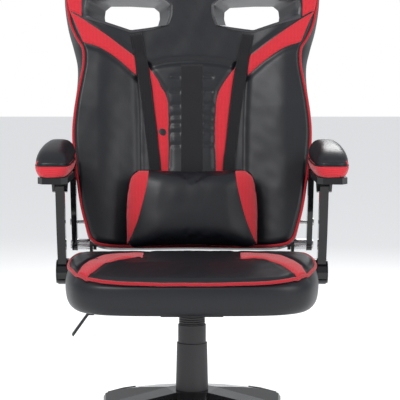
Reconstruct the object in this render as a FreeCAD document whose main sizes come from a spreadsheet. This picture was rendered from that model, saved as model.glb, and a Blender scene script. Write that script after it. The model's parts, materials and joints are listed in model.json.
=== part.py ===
import FreeCAD, Part
import os
import re
import Sketcher

# Gaming chair with a reclining back and linked armrests, in millimetres.
# The sitter faces -Y, +Z is up, and the origin is on the floor under the column.

SIZES = {
    # five-arm base
    "base_reach": 326, "hub_radius": 46, "hub_top": 156, "hub_bottom": 78,
    "arm_root_width": 62, "arm_tip_width": 42, "arm_mid_reach": 150, "arm_mid_top": 137,
    "arm_pad_reach": 234, "arm_pad_top": 118, "arm_socket_top": 97, "arm_under": 62,
    "foot_pad_length": 74, "foot_pad_width": 34, "foot_pad_thick": 2.4,
    "socket_reach": 300, "socket_outer": 7, "socket_depth": 26,
    # casters
    "wheel_radius": 25, "wheel_width": 18, "wheel_inner": 8, "caster_trail": 18,
    "hood_gap": 1.2, "hood_wall": 2.6, "hood_boss": 10, "hood_top": 60,
    "stem_radius": 5.5, "axle_radius": 3, "run_gap": 0.05,
    # column
    "tube_radius": 25, "tube_wall": 1.5, "tube_bottom": 62, "tube_top": 250,
    "bush_length": 60, "gas_radius": 14, "gas_wall": 2, "gas_length": 205, "gas_bottom": 138,
    "gas_cap": 10, "rod_radius": 5, "rod_top": 226, "piston_height": 8,
    "bearing_radius": 12, "bearing_height": 8,
    "lower_cover_radius": 31.4, "lower_cover_flare": 33.8, "cover_wall": 1.6,
    "lower_cover_top": 254, "mid_cover_radius": 29, "mid_cover_bottom": 184,
    "mid_cover_top": 292, "top_cover_radius": 27.2, "top_cover_bottom": 226,
    "rib_depth": 1.2, "sleeve_wall": 0.7, "rib_pitch": 4.6, "rib_count": 6,
    # swivel plate and gas lever
    "plate_bottom": 314, "plate_wall": 3, "mount_half_x": 64, "mount_front": 46,
    "mount_rear": 62, "flange_half_x": 105, "flange_reach": 100, "flange_thick": 5,
    "cam_x": 44, "cam_radius": 5.5, "cam_play": 4.4, "cam_half": 13,
    "trunnion_radius": 3, "trunnion_gap": 0.5, "cheek_thick": 4, "lever_y": -20, "lever_z": 324,
    "lever_radius": 4,
    "lever_reach": 214, "paddle_thick": 5, "paddle_drop": 48, "paddle_run": 34,
    "paddle_root_width": 16, "paddle_tip_width": 34,
    # seat
    "seat_half": 256.8, "seat_front": 262, "seat_rear": 215, "seat_bottom": 347,
    "seat_crown": 449, "seat_front_top": 424, "seat_rear_top": 421,
    "frame_half": 220, "rail_width": 25, "frame_bottom": 374, "frame_top": 407,
    "frame_front": 185, "frame_rear": 246, "foam_gap": 0.5, "web_thick": 1.6, "web_width": 40,
    # pivots of the arm linkage: seat hub and seat-to-back hinge
    "hub_y": 40, "hub_z": 397, "hinge_y": 230, "hinge_z": 432,
    "strut_forward": 60, "strut_rise": 184,
    "hub_face_x": 257.5, "hub_flange": 4, "hub_flange_radius": 28, "spigot_radius": 8,
    "hub_pin_radius": 6, "front_strut_thick": 18, "front_strut_width": 26, "side_gap": 0.4,
    "rear_strut_x": 253, "rear_strut_thick": 12, "rear_strut_width": 26,
    "eye_radius": 14, "link_pin_radius": 5, "open_pin_gap": 0.5,
    "bracket_thick": 6, "hinge_pin_radius": 5, "spacer_radius": 12,
    "ear_x": 212, "ear_thick": 6, "bolt_radius": 4, "bolt_up": 0.28, "cap_height": 3.5,
    # backrest, measured in its own upright frame from the hinge
    "back_lean": 11, "back_front": 50, "back_rear": 21, "cover_thick": 9,
    "back_bottom": 10, "back_top": 796, "shoulder_half": 286, "waist_half": 254,
    "chest_half": 268, "hip_half": 226, "crown_half": 140,
    "hole_inner": 43, "hole_outer": 240, "hole_point": 136, "hole_low": 468, "hole_high": 552,
    "bezel_wall": 5, "tube_side": 24, "post_top": 452, "neck_half": 32,
    "neck_top": 700, "strap_width": 25, "strap_thick": 1.6,
    # lumbar pillow
    "pillow_half": 147, "pillow_low": -16, "pillow_high": 160, "pillow_thick": 92,
    "strap_gap": 0.3, "strap_foot": 60, "strap_low": 14, "strap_head": 123, "strap_drop": 4,
    # armrests
    "arm_inner": 244, "arm_outer": 314, "arm_front": -131, "arm_rear": 135,
    "shell_bottom": 593, "shell_top": 606, "pad_top": 678,
    "fork_wall": 5.5, "fork_half": 30,
    # recline lever
    "release_y": 236, "release_z": 394, "release_x": 268, "release_front": 92,
    "grip_radius": 8,
}

doc = FreeCAD.newDocument("gaming_chair")
dims = doc.addObject("Spreadsheet::Sheet", "dims")
for row, (alias, value) in enumerate(SIZES.items(), 1):
    dims.set("A%d" % row, alias)
    dims.set("B%d" % row, str(value))
    dims.setAlias("B%d" % row, alias)
doc.recompute()

X_AXIS = FreeCAD.Vector(1, 0, 0)
Y_AXIS = FreeCAD.Vector(0, 1, 0)
Z_AXIS = FreeCAD.Vector(0, 0, 1)
ORIGIN = FreeCAD.Vector(0, 0, 0)
SIDES = {"left": 1, "right": -1}
ARM_ANGLES = [-90 + 72 * turn for turn in range(5)]
PARTS = {}
RECLINE_PINS = []
STRUT_BOLTS = []


def cell(text):
    """Give an expression that reads every size it names from the sheet."""
    return re.sub(r"[a-z_]+\w*", lambda m: "dims." + m.group() if m.group() in SIZES else m.group(),
        str(text))


def value(text):
    """Work out an expression of sizes now."""
    return float(dims.evalExpression(cell(text)))


def bind(thing, **settings):
    """Tie properties to expressions of sizes."""
    for name, text in settings.items():
        thing.setExpression(name, cell(text))


def place(thing, x=0, y=0, z=0, turn=None, axis=None):
    """Put a piece at x, y, z, turned by a positive angle expression about an axis."""
    if axis is not None:
        thing.Placement = FreeCAD.Placement(ORIGIN, FreeCAD.Rotation(axis, value(turn)))
        thing.setExpression("Placement.Rotation.Angle", "(%s) * 1 deg" % cell(turn))
    thing.setExpression("Placement.Base.x", cell(x))
    thing.setExpression("Placement.Base.y", cell(y))
    thing.setExpression("Placement.Base.z", cell(z))
    return thing


def on_back(thing):
    """Stand a piece of the backrest on the hinge, leaning back."""
    return place(thing, 0, "hinge_y", "hinge_z", "back_lean", -X_AXIS)


def keep(name, thing):
    """Register a finished sub-part under its own name."""
    thing.Label = name
    PARTS[name] = thing
    return thing


def outline(body, plane, corners, offset=0):
    """Sketch a closed polygon whose corners are expressions of sizes."""
    sketch = body.newObject("Sketcher::SketchObject", body.Name + "_sketch")
    origin_plane = [f for f in body.Origin.OriginFeatures if f.Role == plane][0]
    sketch.AttachmentSupport = [(origin_plane, "")]
    sketch.MapMode = "FlatFace"
    sketch.setExpression("AttachmentOffset.Base.z", cell(offset))
    points = [FreeCAD.Vector(value(a), value(b), 0) for a, b in corners]
    for number, point in enumerate(points):
        following = points[(number + 1) % len(points)]
        sketch.addGeometry(Part.LineSegment(point, following), False)
    for number in range(len(points)):
        sketch.addConstraint(Sketcher.Constraint("Coincident", number, 2, (number + 1) % len(points), 1))
    for number, (across, up) in enumerate(corners):
        for kind, text, now in (("DistanceX", across, points[number].x), ("DistanceY", up, points[number].y)):
            index = sketch.addConstraint(Sketcher.Constraint(kind, -1, 1, number, 1, now))
            sketch.setExpression("Constraints[%d]" % index, cell(text))
    return sketch


def slab(name, plane, corners, thick, offset=0, middle=False):
    """Pad a polygon of a plane into a body; the offset is along the plane's normal."""
    body = doc.addObject("PartDesign::Body", name)
    sketch = outline(body, plane, corners, offset)
    pad = body.newObject("PartDesign::Pad", name + "_pad")
    pad.Profile = sketch
    pad.Midplane = middle
    bind(pad, Length=thick)
    return body


def turned(name, corners):
    """Revolve a profile of radius and height about the body's vertical axis."""
    body = doc.addObject("PartDesign::Body", name)
    sketch = outline(body, "XZ_Plane", corners)
    turning = body.newObject("PartDesign::Revolution", name + "_turn")
    turning.Profile = sketch
    turning.ReferenceAxis = ([f for f in body.Origin.OriginFeatures if f.Role == "Z_Axis"][0], [""])
    turning.Angle = 360
    return body


def block(name, x, y, z, length, width, height):
    """Box from its low corner and its three sides."""
    box = doc.addObject("Part::Box", name)
    bind(box, Length=length, Width=width, Height=height)
    return place(box, x, y, z)


def post(name, radius, x, y, low, high):
    """Upright cylinder between two heights."""
    cylinder = doc.addObject("Part::Cylinder", name)
    bind(cylinder, Radius=radius, Height="(%s) - (%s)" % (high, low))
    return place(cylinder, x, y, low)


def rod(name, radius, start, stop, y, z, side=1):
    """Cylinder along X between two distances from the middle plane, on one side of it."""
    cylinder = doc.addObject("Part::Cylinder", name)
    bind(cylinder, Radius=radius, Height="(%s) - (%s)" % (stop, start))
    return place(cylinder, "%d * (%s)" % (side, start), y, z, "90", side * Y_AXIS)


def fuse(name, pieces):
    """Join pieces into one solid."""
    union = doc.addObject("Part::MultiFuse", name)
    union.Shapes = pieces
    union.Refine = True
    return union


def cut(name, base, tools):
    """Take tools away from a base piece."""
    tool = tools[0] if len(tools) == 1 else fuse(name + "_tools", tools)
    result = doc.addObject("Part::Cut", name)
    result.Base = base
    result.Tool = tool
    return result


def common(name, first, second):
    """Keep what two pieces share."""
    result = doc.addObject("Part::MultiCommon", name)
    result.Shapes = [first, second]
    return result


def group(name, pieces):
    """Hold identical separate solids in one sub-part."""
    result = doc.addObject("Part::Compound", name)
    result.Links = pieces
    return result


def mirror_x(corners):
    """Complete a half outline (x, height) that runs from the bottom to the top."""
    return [(a, b) for a, b in corners] + [("-(%s)" % a, b) for a, b in reversed(corners)]


def span(side, inner, thick):
    """Low X of a plate that starts at an inner distance on one side."""
    return inner if side > 0 else "-(%s) - (%s)" % (inner, thick)


# ---------------------------------------------------------------- five-arm base
def build_base():
    arms = []
    for number, angle in enumerate(ARM_ANGLES):
        plan = slab("arm_plan_%d" % number, "XY_Plane", [
            ("hub_radius / 3", "-arm_root_width / 2"), ("socket_reach", "-arm_tip_width / 2"),
            ("base_reach - 8", "-arm_tip_width / 2 + 6"), ("base_reach", "-arm_tip_width / 5"),
            ("base_reach", "arm_tip_width / 5"), ("base_reach - 8", "arm_tip_width / 2 - 6"),
            ("socket_reach", "arm_tip_width / 2"), ("hub_radius / 3", "arm_root_width / 2")],
            "hub_top + 20")
        side = slab("arm_side_%d" % number, "XZ_Plane", [
            ("0", "hub_bottom"), ("hub_radius", "hub_bottom"),
            ("arm_mid_reach", "(hub_bottom + arm_under) / 2"),
            ("arm_pad_reach", "arm_under"), ("base_reach + 1", "arm_under"),
            ("base_reach + 1", "arm_socket_top - 14"), ("base_reach - 10", "arm_socket_top - 11"),
            ("socket_reach", "arm_socket_top"), ("arm_pad_reach", "arm_pad_top"),
            ("arm_mid_reach", "arm_mid_top"), ("hub_radius", "hub_top"), ("0", "hub_top")],
            "arm_root_width + 2", middle=True)
        arm = common("arm_%d" % number, plan, side)
        place(arm, turn="%d" % abs(angle), axis=Z_AXIS if angle >= 0 else -Z_AXIS)
        arms.append(arm)
    hub = post("base_hub", "hub_radius", 0, 0, "hub_bottom", "hub_top")
    bores = [post("tube_bore", "tube_radius", 0, 0, "hub_bottom - 5", "hub_top + 5")]
    for number, angle in enumerate(ARM_ANGLES):
        bores.append(post("socket_bore_%d" % number, "socket_outer", at_x(angle), at_y(angle),
                          "arm_under - 1", "arm_under + socket_depth"))
    keep("base_star", cut("base_star", fuse("base_body", arms + [hub]), bores))


def at_x(angle, reach="socket_reach"):
    return "%s * cos(%d deg)" % (reach, angle)


def at_y(angle, reach="socket_reach"):
    return "%s * sin(%d deg)" % (reach, angle)


def build_base_fittings():
    sockets = []
    pads = []
    for number, angle in enumerate(ARM_ANGLES):
        outer = post("sleeve_%d" % number, "socket_outer", at_x(angle), at_y(angle),
                     "arm_under", "arm_under + socket_depth")
        inner = post("sleeve_bore_%d" % number, "stem_radius + run_gap", at_x(angle), at_y(angle),
                     "arm_under - 1", "arm_under + socket_depth - 2")
        sockets.append(cut("socket_%d" % number, outer, [inner]))
        pad = slab("pad_%d" % number, "XZ_Plane", pad_profile(), "foot_pad_width", middle=True)
        place(pad, turn="%d" % abs(angle), axis=Z_AXIS if angle >= 0 else -Z_AXIS)
        pads.append(pad)
    keep("caster_sockets", group("caster_sockets", sockets))
    keep("foot_pads", group("foot_pads", pads))


def pad_profile():
    """Side view of a foot pad lying on the sloping top of an arm."""
    drop = "(arm_pad_top - arm_socket_top) / (socket_reach - arm_pad_reach)"
    near = "arm_pad_top - 2 * %s" % drop
    far = "arm_pad_top - (foot_pad_length - 10) * %s" % drop
    return [("arm_pad_reach + 2", near), ("arm_pad_reach + foot_pad_length - 10", far),
            ("arm_pad_reach + foot_pad_length - 10", far + " + foot_pad_thick"),
            ("arm_pad_reach + 2", near + " + foot_pad_thick")]


# ---------------------------------------------------------------- casters
def build_caster(number, angle):
    x = at_x(angle)
    y = at_y(angle)
    axle_y = "%s + caster_trail" % y
    half = "wheel_inner + wheel_width + 1"
    shell = wheel_rod("hood_shell_%d" % number, "wheel_radius + hood_gap + hood_wall", half, x, axle_y)
    boss = post("hood_boss_%d" % number, "hood_boss", x, y, "wheel_radius + 4", "hood_top")
    body = fuse("hood_body_%d" % number, [shell, boss])
    under = block("hood_under_%d" % number, "%s - 60" % x, "%s - 60" % axle_y, "-20", "120", "120",
                  "20 + wheel_radius - 8")
    tools = [under]
    for side in (1, -1):
        room = wheel_rod("room_%d_%d" % (number, side + 1), "wheel_radius + hood_gap", "wheel_width + 2",
                         x, axle_y, side, "wheel_inner - 1")
        tools.append(room)
    tools.append(post("stem_hole_%d" % number, "stem_radius", x, y, "wheel_radius + 7", "hood_top + 1"))
    tools.append(wheel_rod("axle_hole_%d" % number, "axle_radius", "wheel_inner + 4", x, axle_y))
    keep("caster_%d_hood" % number, cut("hood_%d" % number, body, tools))
    stem = post("stem_%d" % number, "stem_radius", x, y, "wheel_radius + 7",
                "arm_under + socket_depth - 3")
    axle = wheel_rod("axle_%d" % number, "axle_radius", "wheel_inner + wheel_width - 2", x, axle_y)
    keep("caster_%d_pins" % number, group("pins_%d" % number, [stem, axle]))
    wheels = []
    for side in (1, -1):
        wheel = wheel_rod("tread_%d_%d" % (number, side + 1), "wheel_radius", "wheel_width",
                          x, axle_y, side, "wheel_inner")
        bore = wheel_rod("bore_%d_%d" % (number, side + 1), "axle_radius + run_gap", "wheel_width - 1.8",
                         x, axle_y, side, "wheel_inner - 0.01")
        dish = wheel_rod("dish_%d_%d" % (number, side + 1), "wheel_radius - 6", "4",
                         x, axle_y, side, "wheel_inner + wheel_width - 1.2")
        wheels.append(cut("wheel_%d_%d" % (number, side + 1), wheel, [bore, dish]))
    keep("caster_%d_wheels" % number, group("wheels_%d" % number, wheels))


def wheel_rod(name, radius, length, x, y, side=0, start="0"):
    """Cylinder on a wheel's axle line: centred with side 0, else from a distance on one side."""
    cylinder = doc.addObject("Part::Cylinder", name)
    if side == 0:
        bind(cylinder, Radius=radius, Height="2 * (%s)" % length)
        return place(cylinder, "%s - (%s)" % (x, length), y, "wheel_radius", "90", Y_AXIS)
    bind(cylinder, Radius=radius, Height=length)
    low = "%s + (%s)" % (x, start) if side > 0 else "%s - (%s) - (%s)" % (x, start, length)
    return place(cylinder, low, y, "wheel_radius", "90", Y_AXIS)


# ---------------------------------------------------------------- column
def build_column():
    inner = "tube_radius - tube_wall"
    keep("column_tube", turned("column_tube", [
        ("rod_radius + 1", "tube_bottom"), ("tube_radius - 5", "tube_bottom"),
        ("tube_radius", "tube_bottom + 22"), ("tube_radius", "tube_top"), (inner, "tube_top"),
        (inner, "tube_bottom + 22"), ("tube_radius - 7", "tube_bottom + 3"),
        ("rod_radius + 1", "tube_bottom + 3")]))
    keep("column_bush", turned("column_bush", [
        ("gas_radius + run_gap", "tube_top - bush_length"), (inner, "tube_top - bush_length"),
        (inner, "tube_top"), ("tube_radius - 0.2", "tube_top"), ("tube_radius - 0.2", "tube_top + 2"),
        ("gas_radius + run_gap", "tube_top + 2")]))
    keep("lower_cover", turned("lower_cover", [
        ("lower_cover_flare - cover_wall", "hub_top"), ("lower_cover_flare", "hub_top"),
        ("lower_cover_radius", "lower_cover_top"), ("lower_cover_radius - cover_wall", "lower_cover_top"),
        ]))
    keep("mid_cover", turned("mid_cover", [
        ("mid_cover_radius - cover_wall", "mid_cover_bottom"), ("mid_cover_radius", "mid_cover_bottom"),
        ("mid_cover_radius", "mid_cover_top"), ("mid_cover_radius - cover_wall", "mid_cover_top")]))
    build_top_cover()
    keep("thrust_bearing", turned("thrust_bearing", [
        ("rod_radius + run_gap", "tube_bottom + 3"), ("bearing_radius", "tube_bottom + 3"),
        ("bearing_radius", "tube_bottom + 3 + bearing_height"),
        ("rod_radius + run_gap", "tube_bottom + 3 + bearing_height")]))
    seat_z = "tube_bottom + 3 + bearing_height"
    keep("piston_rod", turned("piston_rod", [
        ("0", "tube_bottom - 4"), ("rod_radius", "tube_bottom - 4"), ("rod_radius", seat_z + " + 0.05"),
        ("rod_radius + 4", seat_z + " + 0.05"), ("rod_radius + 4", seat_z + " + 5"),
        ("rod_radius", seat_z + " + 5"), ("rod_radius", "rod_top - piston_height"),
        ("gas_radius - gas_wall - run_gap", "rod_top - piston_height"),
        ("gas_radius - gas_wall - run_gap", "rod_top"), ("0", "rod_top")]))
    gas_top = "gas_bottom + gas_length"
    keep("gas_cylinder", turned("gas_cylinder", [
        ("rod_radius + run_gap", "gas_bottom"), ("gas_radius", "gas_bottom"),
        ("gas_radius", gas_top + " - 8"), ("4", gas_top + " - 8"), ("4", gas_top), ("0", gas_top),
        ("0", gas_top + " - 20"), ("gas_radius - gas_wall", gas_top + " - 20"),
        ("gas_radius - gas_wall", "gas_bottom + gas_cap"), ("rod_radius + run_gap", "gas_bottom + gas_cap")]))


def build_top_cover():
    """Sleeve that hangs under the swivel plate, with moulded rings round its top."""
    ring_radius = "top_cover_radius"
    outer = "top_cover_radius - rib_depth"
    inner = "top_cover_radius - rib_depth - sleeve_wall"
    profile = [(inner, "top_cover_bottom"), (outer, "top_cover_bottom")]
    for ring in range(int(SIZES["rib_count"])):
        low = "plate_bottom - (rib_count - %d) * rib_pitch" % ring
        profile.append((outer, low))
        profile.append((ring_radius, low + " + rib_pitch * 0.3"))
        profile.append((ring_radius, low + " + rib_pitch * 0.7"))
    profile.append((outer, "plate_bottom"))
    profile.append((inner, "plate_bottom"))
    keep("top_cover", turned("top_cover", profile))


def across(name, radius, half_length):
    """Cylinder along Y through the gas lever's pivot."""
    pin = doc.addObject("Part::Cylinder", name)
    bind(pin, Radius=radius, Height="2 * (%s)" % half_length)
    return place(pin, "-cam_x", "lever_y + " + half_length, "lever_z", "90", X_AXIS)


# ---------------------------------------------------------------- swivel plate and gas lever
def build_mechanism():
    """Cast housing under the seat: flange on the frame, walls round the gas cylinder and the lever."""
    box = block("mount_box", "-mount_half_x", "-mount_front", "plate_bottom", "2 * mount_half_x",
                "mount_front + mount_rear", "frame_bottom - plate_bottom")
    flange = block("mount_flange", "-flange_half_x", "-flange_reach", "frame_bottom - flange_thick",
                   "2 * flange_half_x", "2 * flange_reach", "flange_thick")
    room = block("mount_room", "-mount_half_x + plate_wall", "-mount_front + plate_wall",
                 "plate_bottom + plate_wall", "2 * mount_half_x - 2 * plate_wall",
                 "mount_front + mount_rear - 2 * plate_wall", "frame_bottom - plate_bottom")
    boss = post("plate_boss", "gas_radius + 5", 0, 0, "plate_bottom", "gas_bottom + gas_length - 8")
    cheeks = [block("cam_cheek_" + word, "-cam_x - trunnion_radius - 3", start,
        "plate_bottom + plate_wall - 0.5",
                    "2 * trunnion_radius + 6", "cheek_thick",
                    "lever_z + trunnion_radius + 3 - plate_bottom - plate_wall + 0.5")
              for word, start in (("front", "lever_y - cam_radius - trunnion_gap - cheek_thick"),
                                  ("rear", "lever_y + cam_radius + trunnion_gap"))]
    hollow = cut("mount_hollow", fuse("mount_body", [box, flange]), [room])
    keep("swivel_plate", cut("swivel_plate", fuse("mount_with_boss", [hollow, boss] + cheeks), [
        post("plate_bore", "gas_radius", 0, 0, "plate_bottom - 1", "gas_bottom + gas_length - 7.9"),
        across("cheek_bore", "trunnion_radius + run_gap", "cam_radius + trunnion_gap + cheek_thick + 1"),
        rod("plate_lever_hole", "lever_radius + 5", "mount_half_x - plate_wall - 1", "mount_half_x + 1",
            "lever_y", "lever_z", -1)]))
    cam_bottom = "gas_bottom + gas_length + cam_play"
    cam_hub = block("cam_hub", "-cam_x - cam_half", "lever_y - cam_radius", "lever_z - cam_radius",
                    "2 * cam_half", "2 * cam_radius", "2 * cam_radius")
    cam_arm = block("cam_arm", "-cam_x", "lever_y - 4", "lever_z + cam_radius - 4", "cam_x + 4", "8",
                    "gas_bottom + gas_length + cam_play + 3 - lever_z - cam_radius + 4")
    cam_tip = block("cam_tip", "-6", "lever_y - 4", cam_bottom, "12", "-lever_y + 8", "3")
    trunnion = across("cam_trunnion", "trunnion_radius", "cam_radius + trunnion_gap + cheek_thick")
    keep("gas_cam", cut("gas_cam", fuse("cam_body", [cam_hub, cam_arm, cam_tip, trunnion]), [
        rod("cam_bore", "lever_radius + run_gap", "cam_x - cam_half - 1", "cam_x + cam_half + 1",
            "lever_y", "lever_z", -1),
        block("cam_under", "-cam_x + cam_half + 0.5", "lever_y - 5", "lever_z", "cam_x - cam_half + 6", "10",
              "gas_bottom + gas_length + cam_play - lever_z")]))
    keep("lever_rod", rod("lever_rod", "lever_radius", "cam_x - 12", "lever_reach", "lever_y", "lever_z", -1))
    build_paddle()


def build_paddle():
    """Flat paddle that hangs down and out from the end of the lever rod."""
    root = "-lever_reach + 12"
    tip = "-lever_reach - paddle_run"
    side = slab("paddle_side", "XZ_Plane", [
        (root, "lever_z - lever_radius - paddle_thick"), (root, "lever_z - lever_radius - 0.01"),
        ("-lever_reach - 2", "lever_z - lever_radius - 0.01"), (tip, "lever_z - paddle_drop"),
        (tip + " + 3", "lever_z - paddle_drop - paddle_thick"),
        ("-lever_reach + 1", "lever_z - lever_radius - paddle_thick")],
        "paddle_tip_width + 20", middle=True)
    place(side, 0, "lever_y", 0)
    plan = slab("paddle_plan", "XY_Plane", [
        (root, "lever_y - paddle_root_width / 2"), ("-lever_reach", "lever_y - paddle_root_width / 2"),
        (tip + " + 6", "lever_y - paddle_tip_width / 2"), (tip, "lever_y - paddle_tip_width / 2 + 7"),
        (tip, "lever_y + paddle_tip_width / 2 - 7"), (tip + " + 6", "lever_y + paddle_tip_width / 2"),
        ("-lever_reach", "lever_y + paddle_root_width / 2"), (root, "lever_y + paddle_root_width / 2")],
        "lever_z + 40")
    socket = rod("paddle_socket", "lever_radius + 3", "lever_reach - 12", "lever_reach + 3", "lever_y",
        "lever_z", -1)
    body = fuse("paddle_body", [common("paddle_blade", side, plan), socket])
    keep("lever_paddle", cut("lever_paddle", body, [
        rod("paddle_bore", "lever_radius", "lever_reach - 13", "lever_reach", "lever_y", "lever_z", -1)]))


# ---------------------------------------------------------------- seat
def build_seat():
    length = "frame_front + frame_rear"
    pieces = []
    for side in (1, -1):
        pieces.append(block("rail_%d" % (side + 1), span(side, "frame_half - rail_width", "rail_width"),
                            "-frame_front", "frame_bottom", "rail_width", length, "frame_top - frame_bottom"))
    for name, low in (("front", "-frame_front"), ("rear", "seat_rear - 35")):
        pieces.append(block("cross_" + name, "-frame_half + rail_width / 2", low, "frame_bottom",
                            "2 * frame_half - rail_width", "rail_width", "frame_top - frame_bottom"))
    for number, low in enumerate(("-flange_reach + 4", "flange_reach - 34")):
        pieces.append(block("bearer_%d" % number, "-frame_half + rail_width / 2", low, "frame_bottom",
                            "2 * frame_half - rail_width", "30", "8"))
    frame = fuse("seat_frame_body", pieces)
    drills = []
    for side in (1, -1):
        drills.append(rod("spigot_hole_%d" % (side + 1), "spigot_radius", "frame_half - 14", "frame_half + 1",
                          "hub_y", "hub_z", side))
    keep("seat_frame", cut("seat_frame", frame, drills))
    bands = []
    for number in range(4):
        bands.append(block("band_%d" % number, "-frame_half + rail_width + 0.3",
                           "-frame_front + 55 + %d * (web_width + 42)" % number, "frame_top - web_thick - 1",
                           "2 * (frame_half - rail_width - 0.3)", "web_width", "web_thick"))
    keep("seat_webbing", group("seat_webbing", bands))
    build_seat_cushion()


def build_seat_cushion():
    half = [("0", "-seat_front"), ("120", "-seat_front + 1"), ("186", "-seat_front + 14"),
            ("228", "-seat_front + 48"), ("seat_half - 9", "-seat_front + 110"),
            ("seat_half", "-seat_front + 190"), ("seat_half - 0.4", "-seat_front + 262"),
            ("seat_half - 3", "hub_y"), ("seat_half - 12", "seat_rear - 75"),
            ("seat_half - 35", "seat_rear - 22"), ("seat_half - 62", "seat_rear"), ("0", "seat_rear")]
    plan = slab("seat_plan", "XY_Plane", half[:-1] + [half[-1]] + [("-(%s)" % a, b) for a,
        b in reversed(half[1:-1])],
                "seat_crown + 10")
    side = slab("seat_side", "YZ_Plane", [
        ("-seat_front - 1", "seat_bottom + 10"), ("-seat_front + 22", "seat_bottom"),
        ("seat_rear + 1", "seat_bottom"),
        ("seat_rear + 1", "seat_rear_top - 8"), ("seat_rear - 35", "seat_rear_top"),
        ("60", "seat_crown - 10"),
        ("-60", "seat_crown"), ("-seat_front + 60", "seat_crown - 6"), ("-seat_front + 12", "seat_front_top"),
        ("-seat_front - 1", "seat_front_top - 14")], "2 * seat_half + 4", middle=True)
    front = slab("seat_front_view", "XZ_Plane", mirror_x([
        ("seat_half - 16", "seat_bottom - 1"), ("seat_half - 3", "seat_bottom + 18"),
        ("seat_half + 1", "seat_bottom + 40"),
        ("seat_half + 1", "seat_crown - 26"), ("seat_half - 10", "seat_crown - 8"),
        ("seat_half - 40", "seat_crown + 1")]),
        "seat_front + seat_rear + 60", middle=True)
    body = common("seat_foam", common("seat_two_views", plan, side), front)
    gap = "foam_gap"
    recess = block("frame_room", "-frame_half - foam_gap", "-frame_front - foam_gap", "seat_bottom - 1",
                   "2 * (frame_half + foam_gap)", "frame_front + frame_rear",
                   "frame_top + foam_gap - seat_bottom + 1")
    holes = [rod("spigot_room_%d" % (side + 1), "spigot_radius + " + gap, "frame_half - 4", "seat_half + 4",
                 "hub_y", "hub_z", side) for side in (1, -1)]
    keep("seat_cushion", cut("seat_cushion", body, [recess] + holes))


# ---------------------------------------------------------------- hubs, brackets and struts
def strut(name, side, inner, thick, width, lower_y, lower_z, lower_bore, upper_bore, eye_low, eye_high):
    """Flat bar between two eyes, with its bores; the bar bends a little between them."""
    length = "sqrt(strut_forward ^ 2 + strut_rise ^ 2)"
    bar = slab(name + "_bar", "YZ_Plane", [
        ("-(%s) / 2" % width, "0"), ("-(%s) / 2 - 3" % width, "0.5 * " + length),
        ("-(%s) / 2 + 2" % width, length),
        ("(%s) / 2 - 2" % width, length), ("(%s) / 2 - 5" % width, "0.5 * " + length),
        ("(%s) / 2" % width, "0")],
        thick)
    place(bar, span(side, inner, thick), lower_y, lower_z, "atan(strut_forward / strut_rise) / 1 deg", X_AXIS)
    upper_y = "(%s) - strut_forward" % lower_y
    upper_z = "(%s) + strut_rise" % lower_z
    stop = "(%s) + (%s)" % (inner, thick)
    low = rod(name + "_low_eye", eye_low, inner, stop, lower_y, lower_z, side)
    high = rod(name + "_high_eye", eye_high, inner, stop, upper_y, upper_z, side)
    drills = [rod(name + "_low_bore", lower_bore, "(%s) - 1" % inner, "%s + 1" % stop, lower_y, lower_z,
        side),
              rod(name + "_high_bore", upper_bore, "(%s) - 1" % inner, "%s + 1" % stop, upper_y, upper_z,
              side)]
    return fuse(name + "_body", [bar, low, high]), drills


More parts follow.
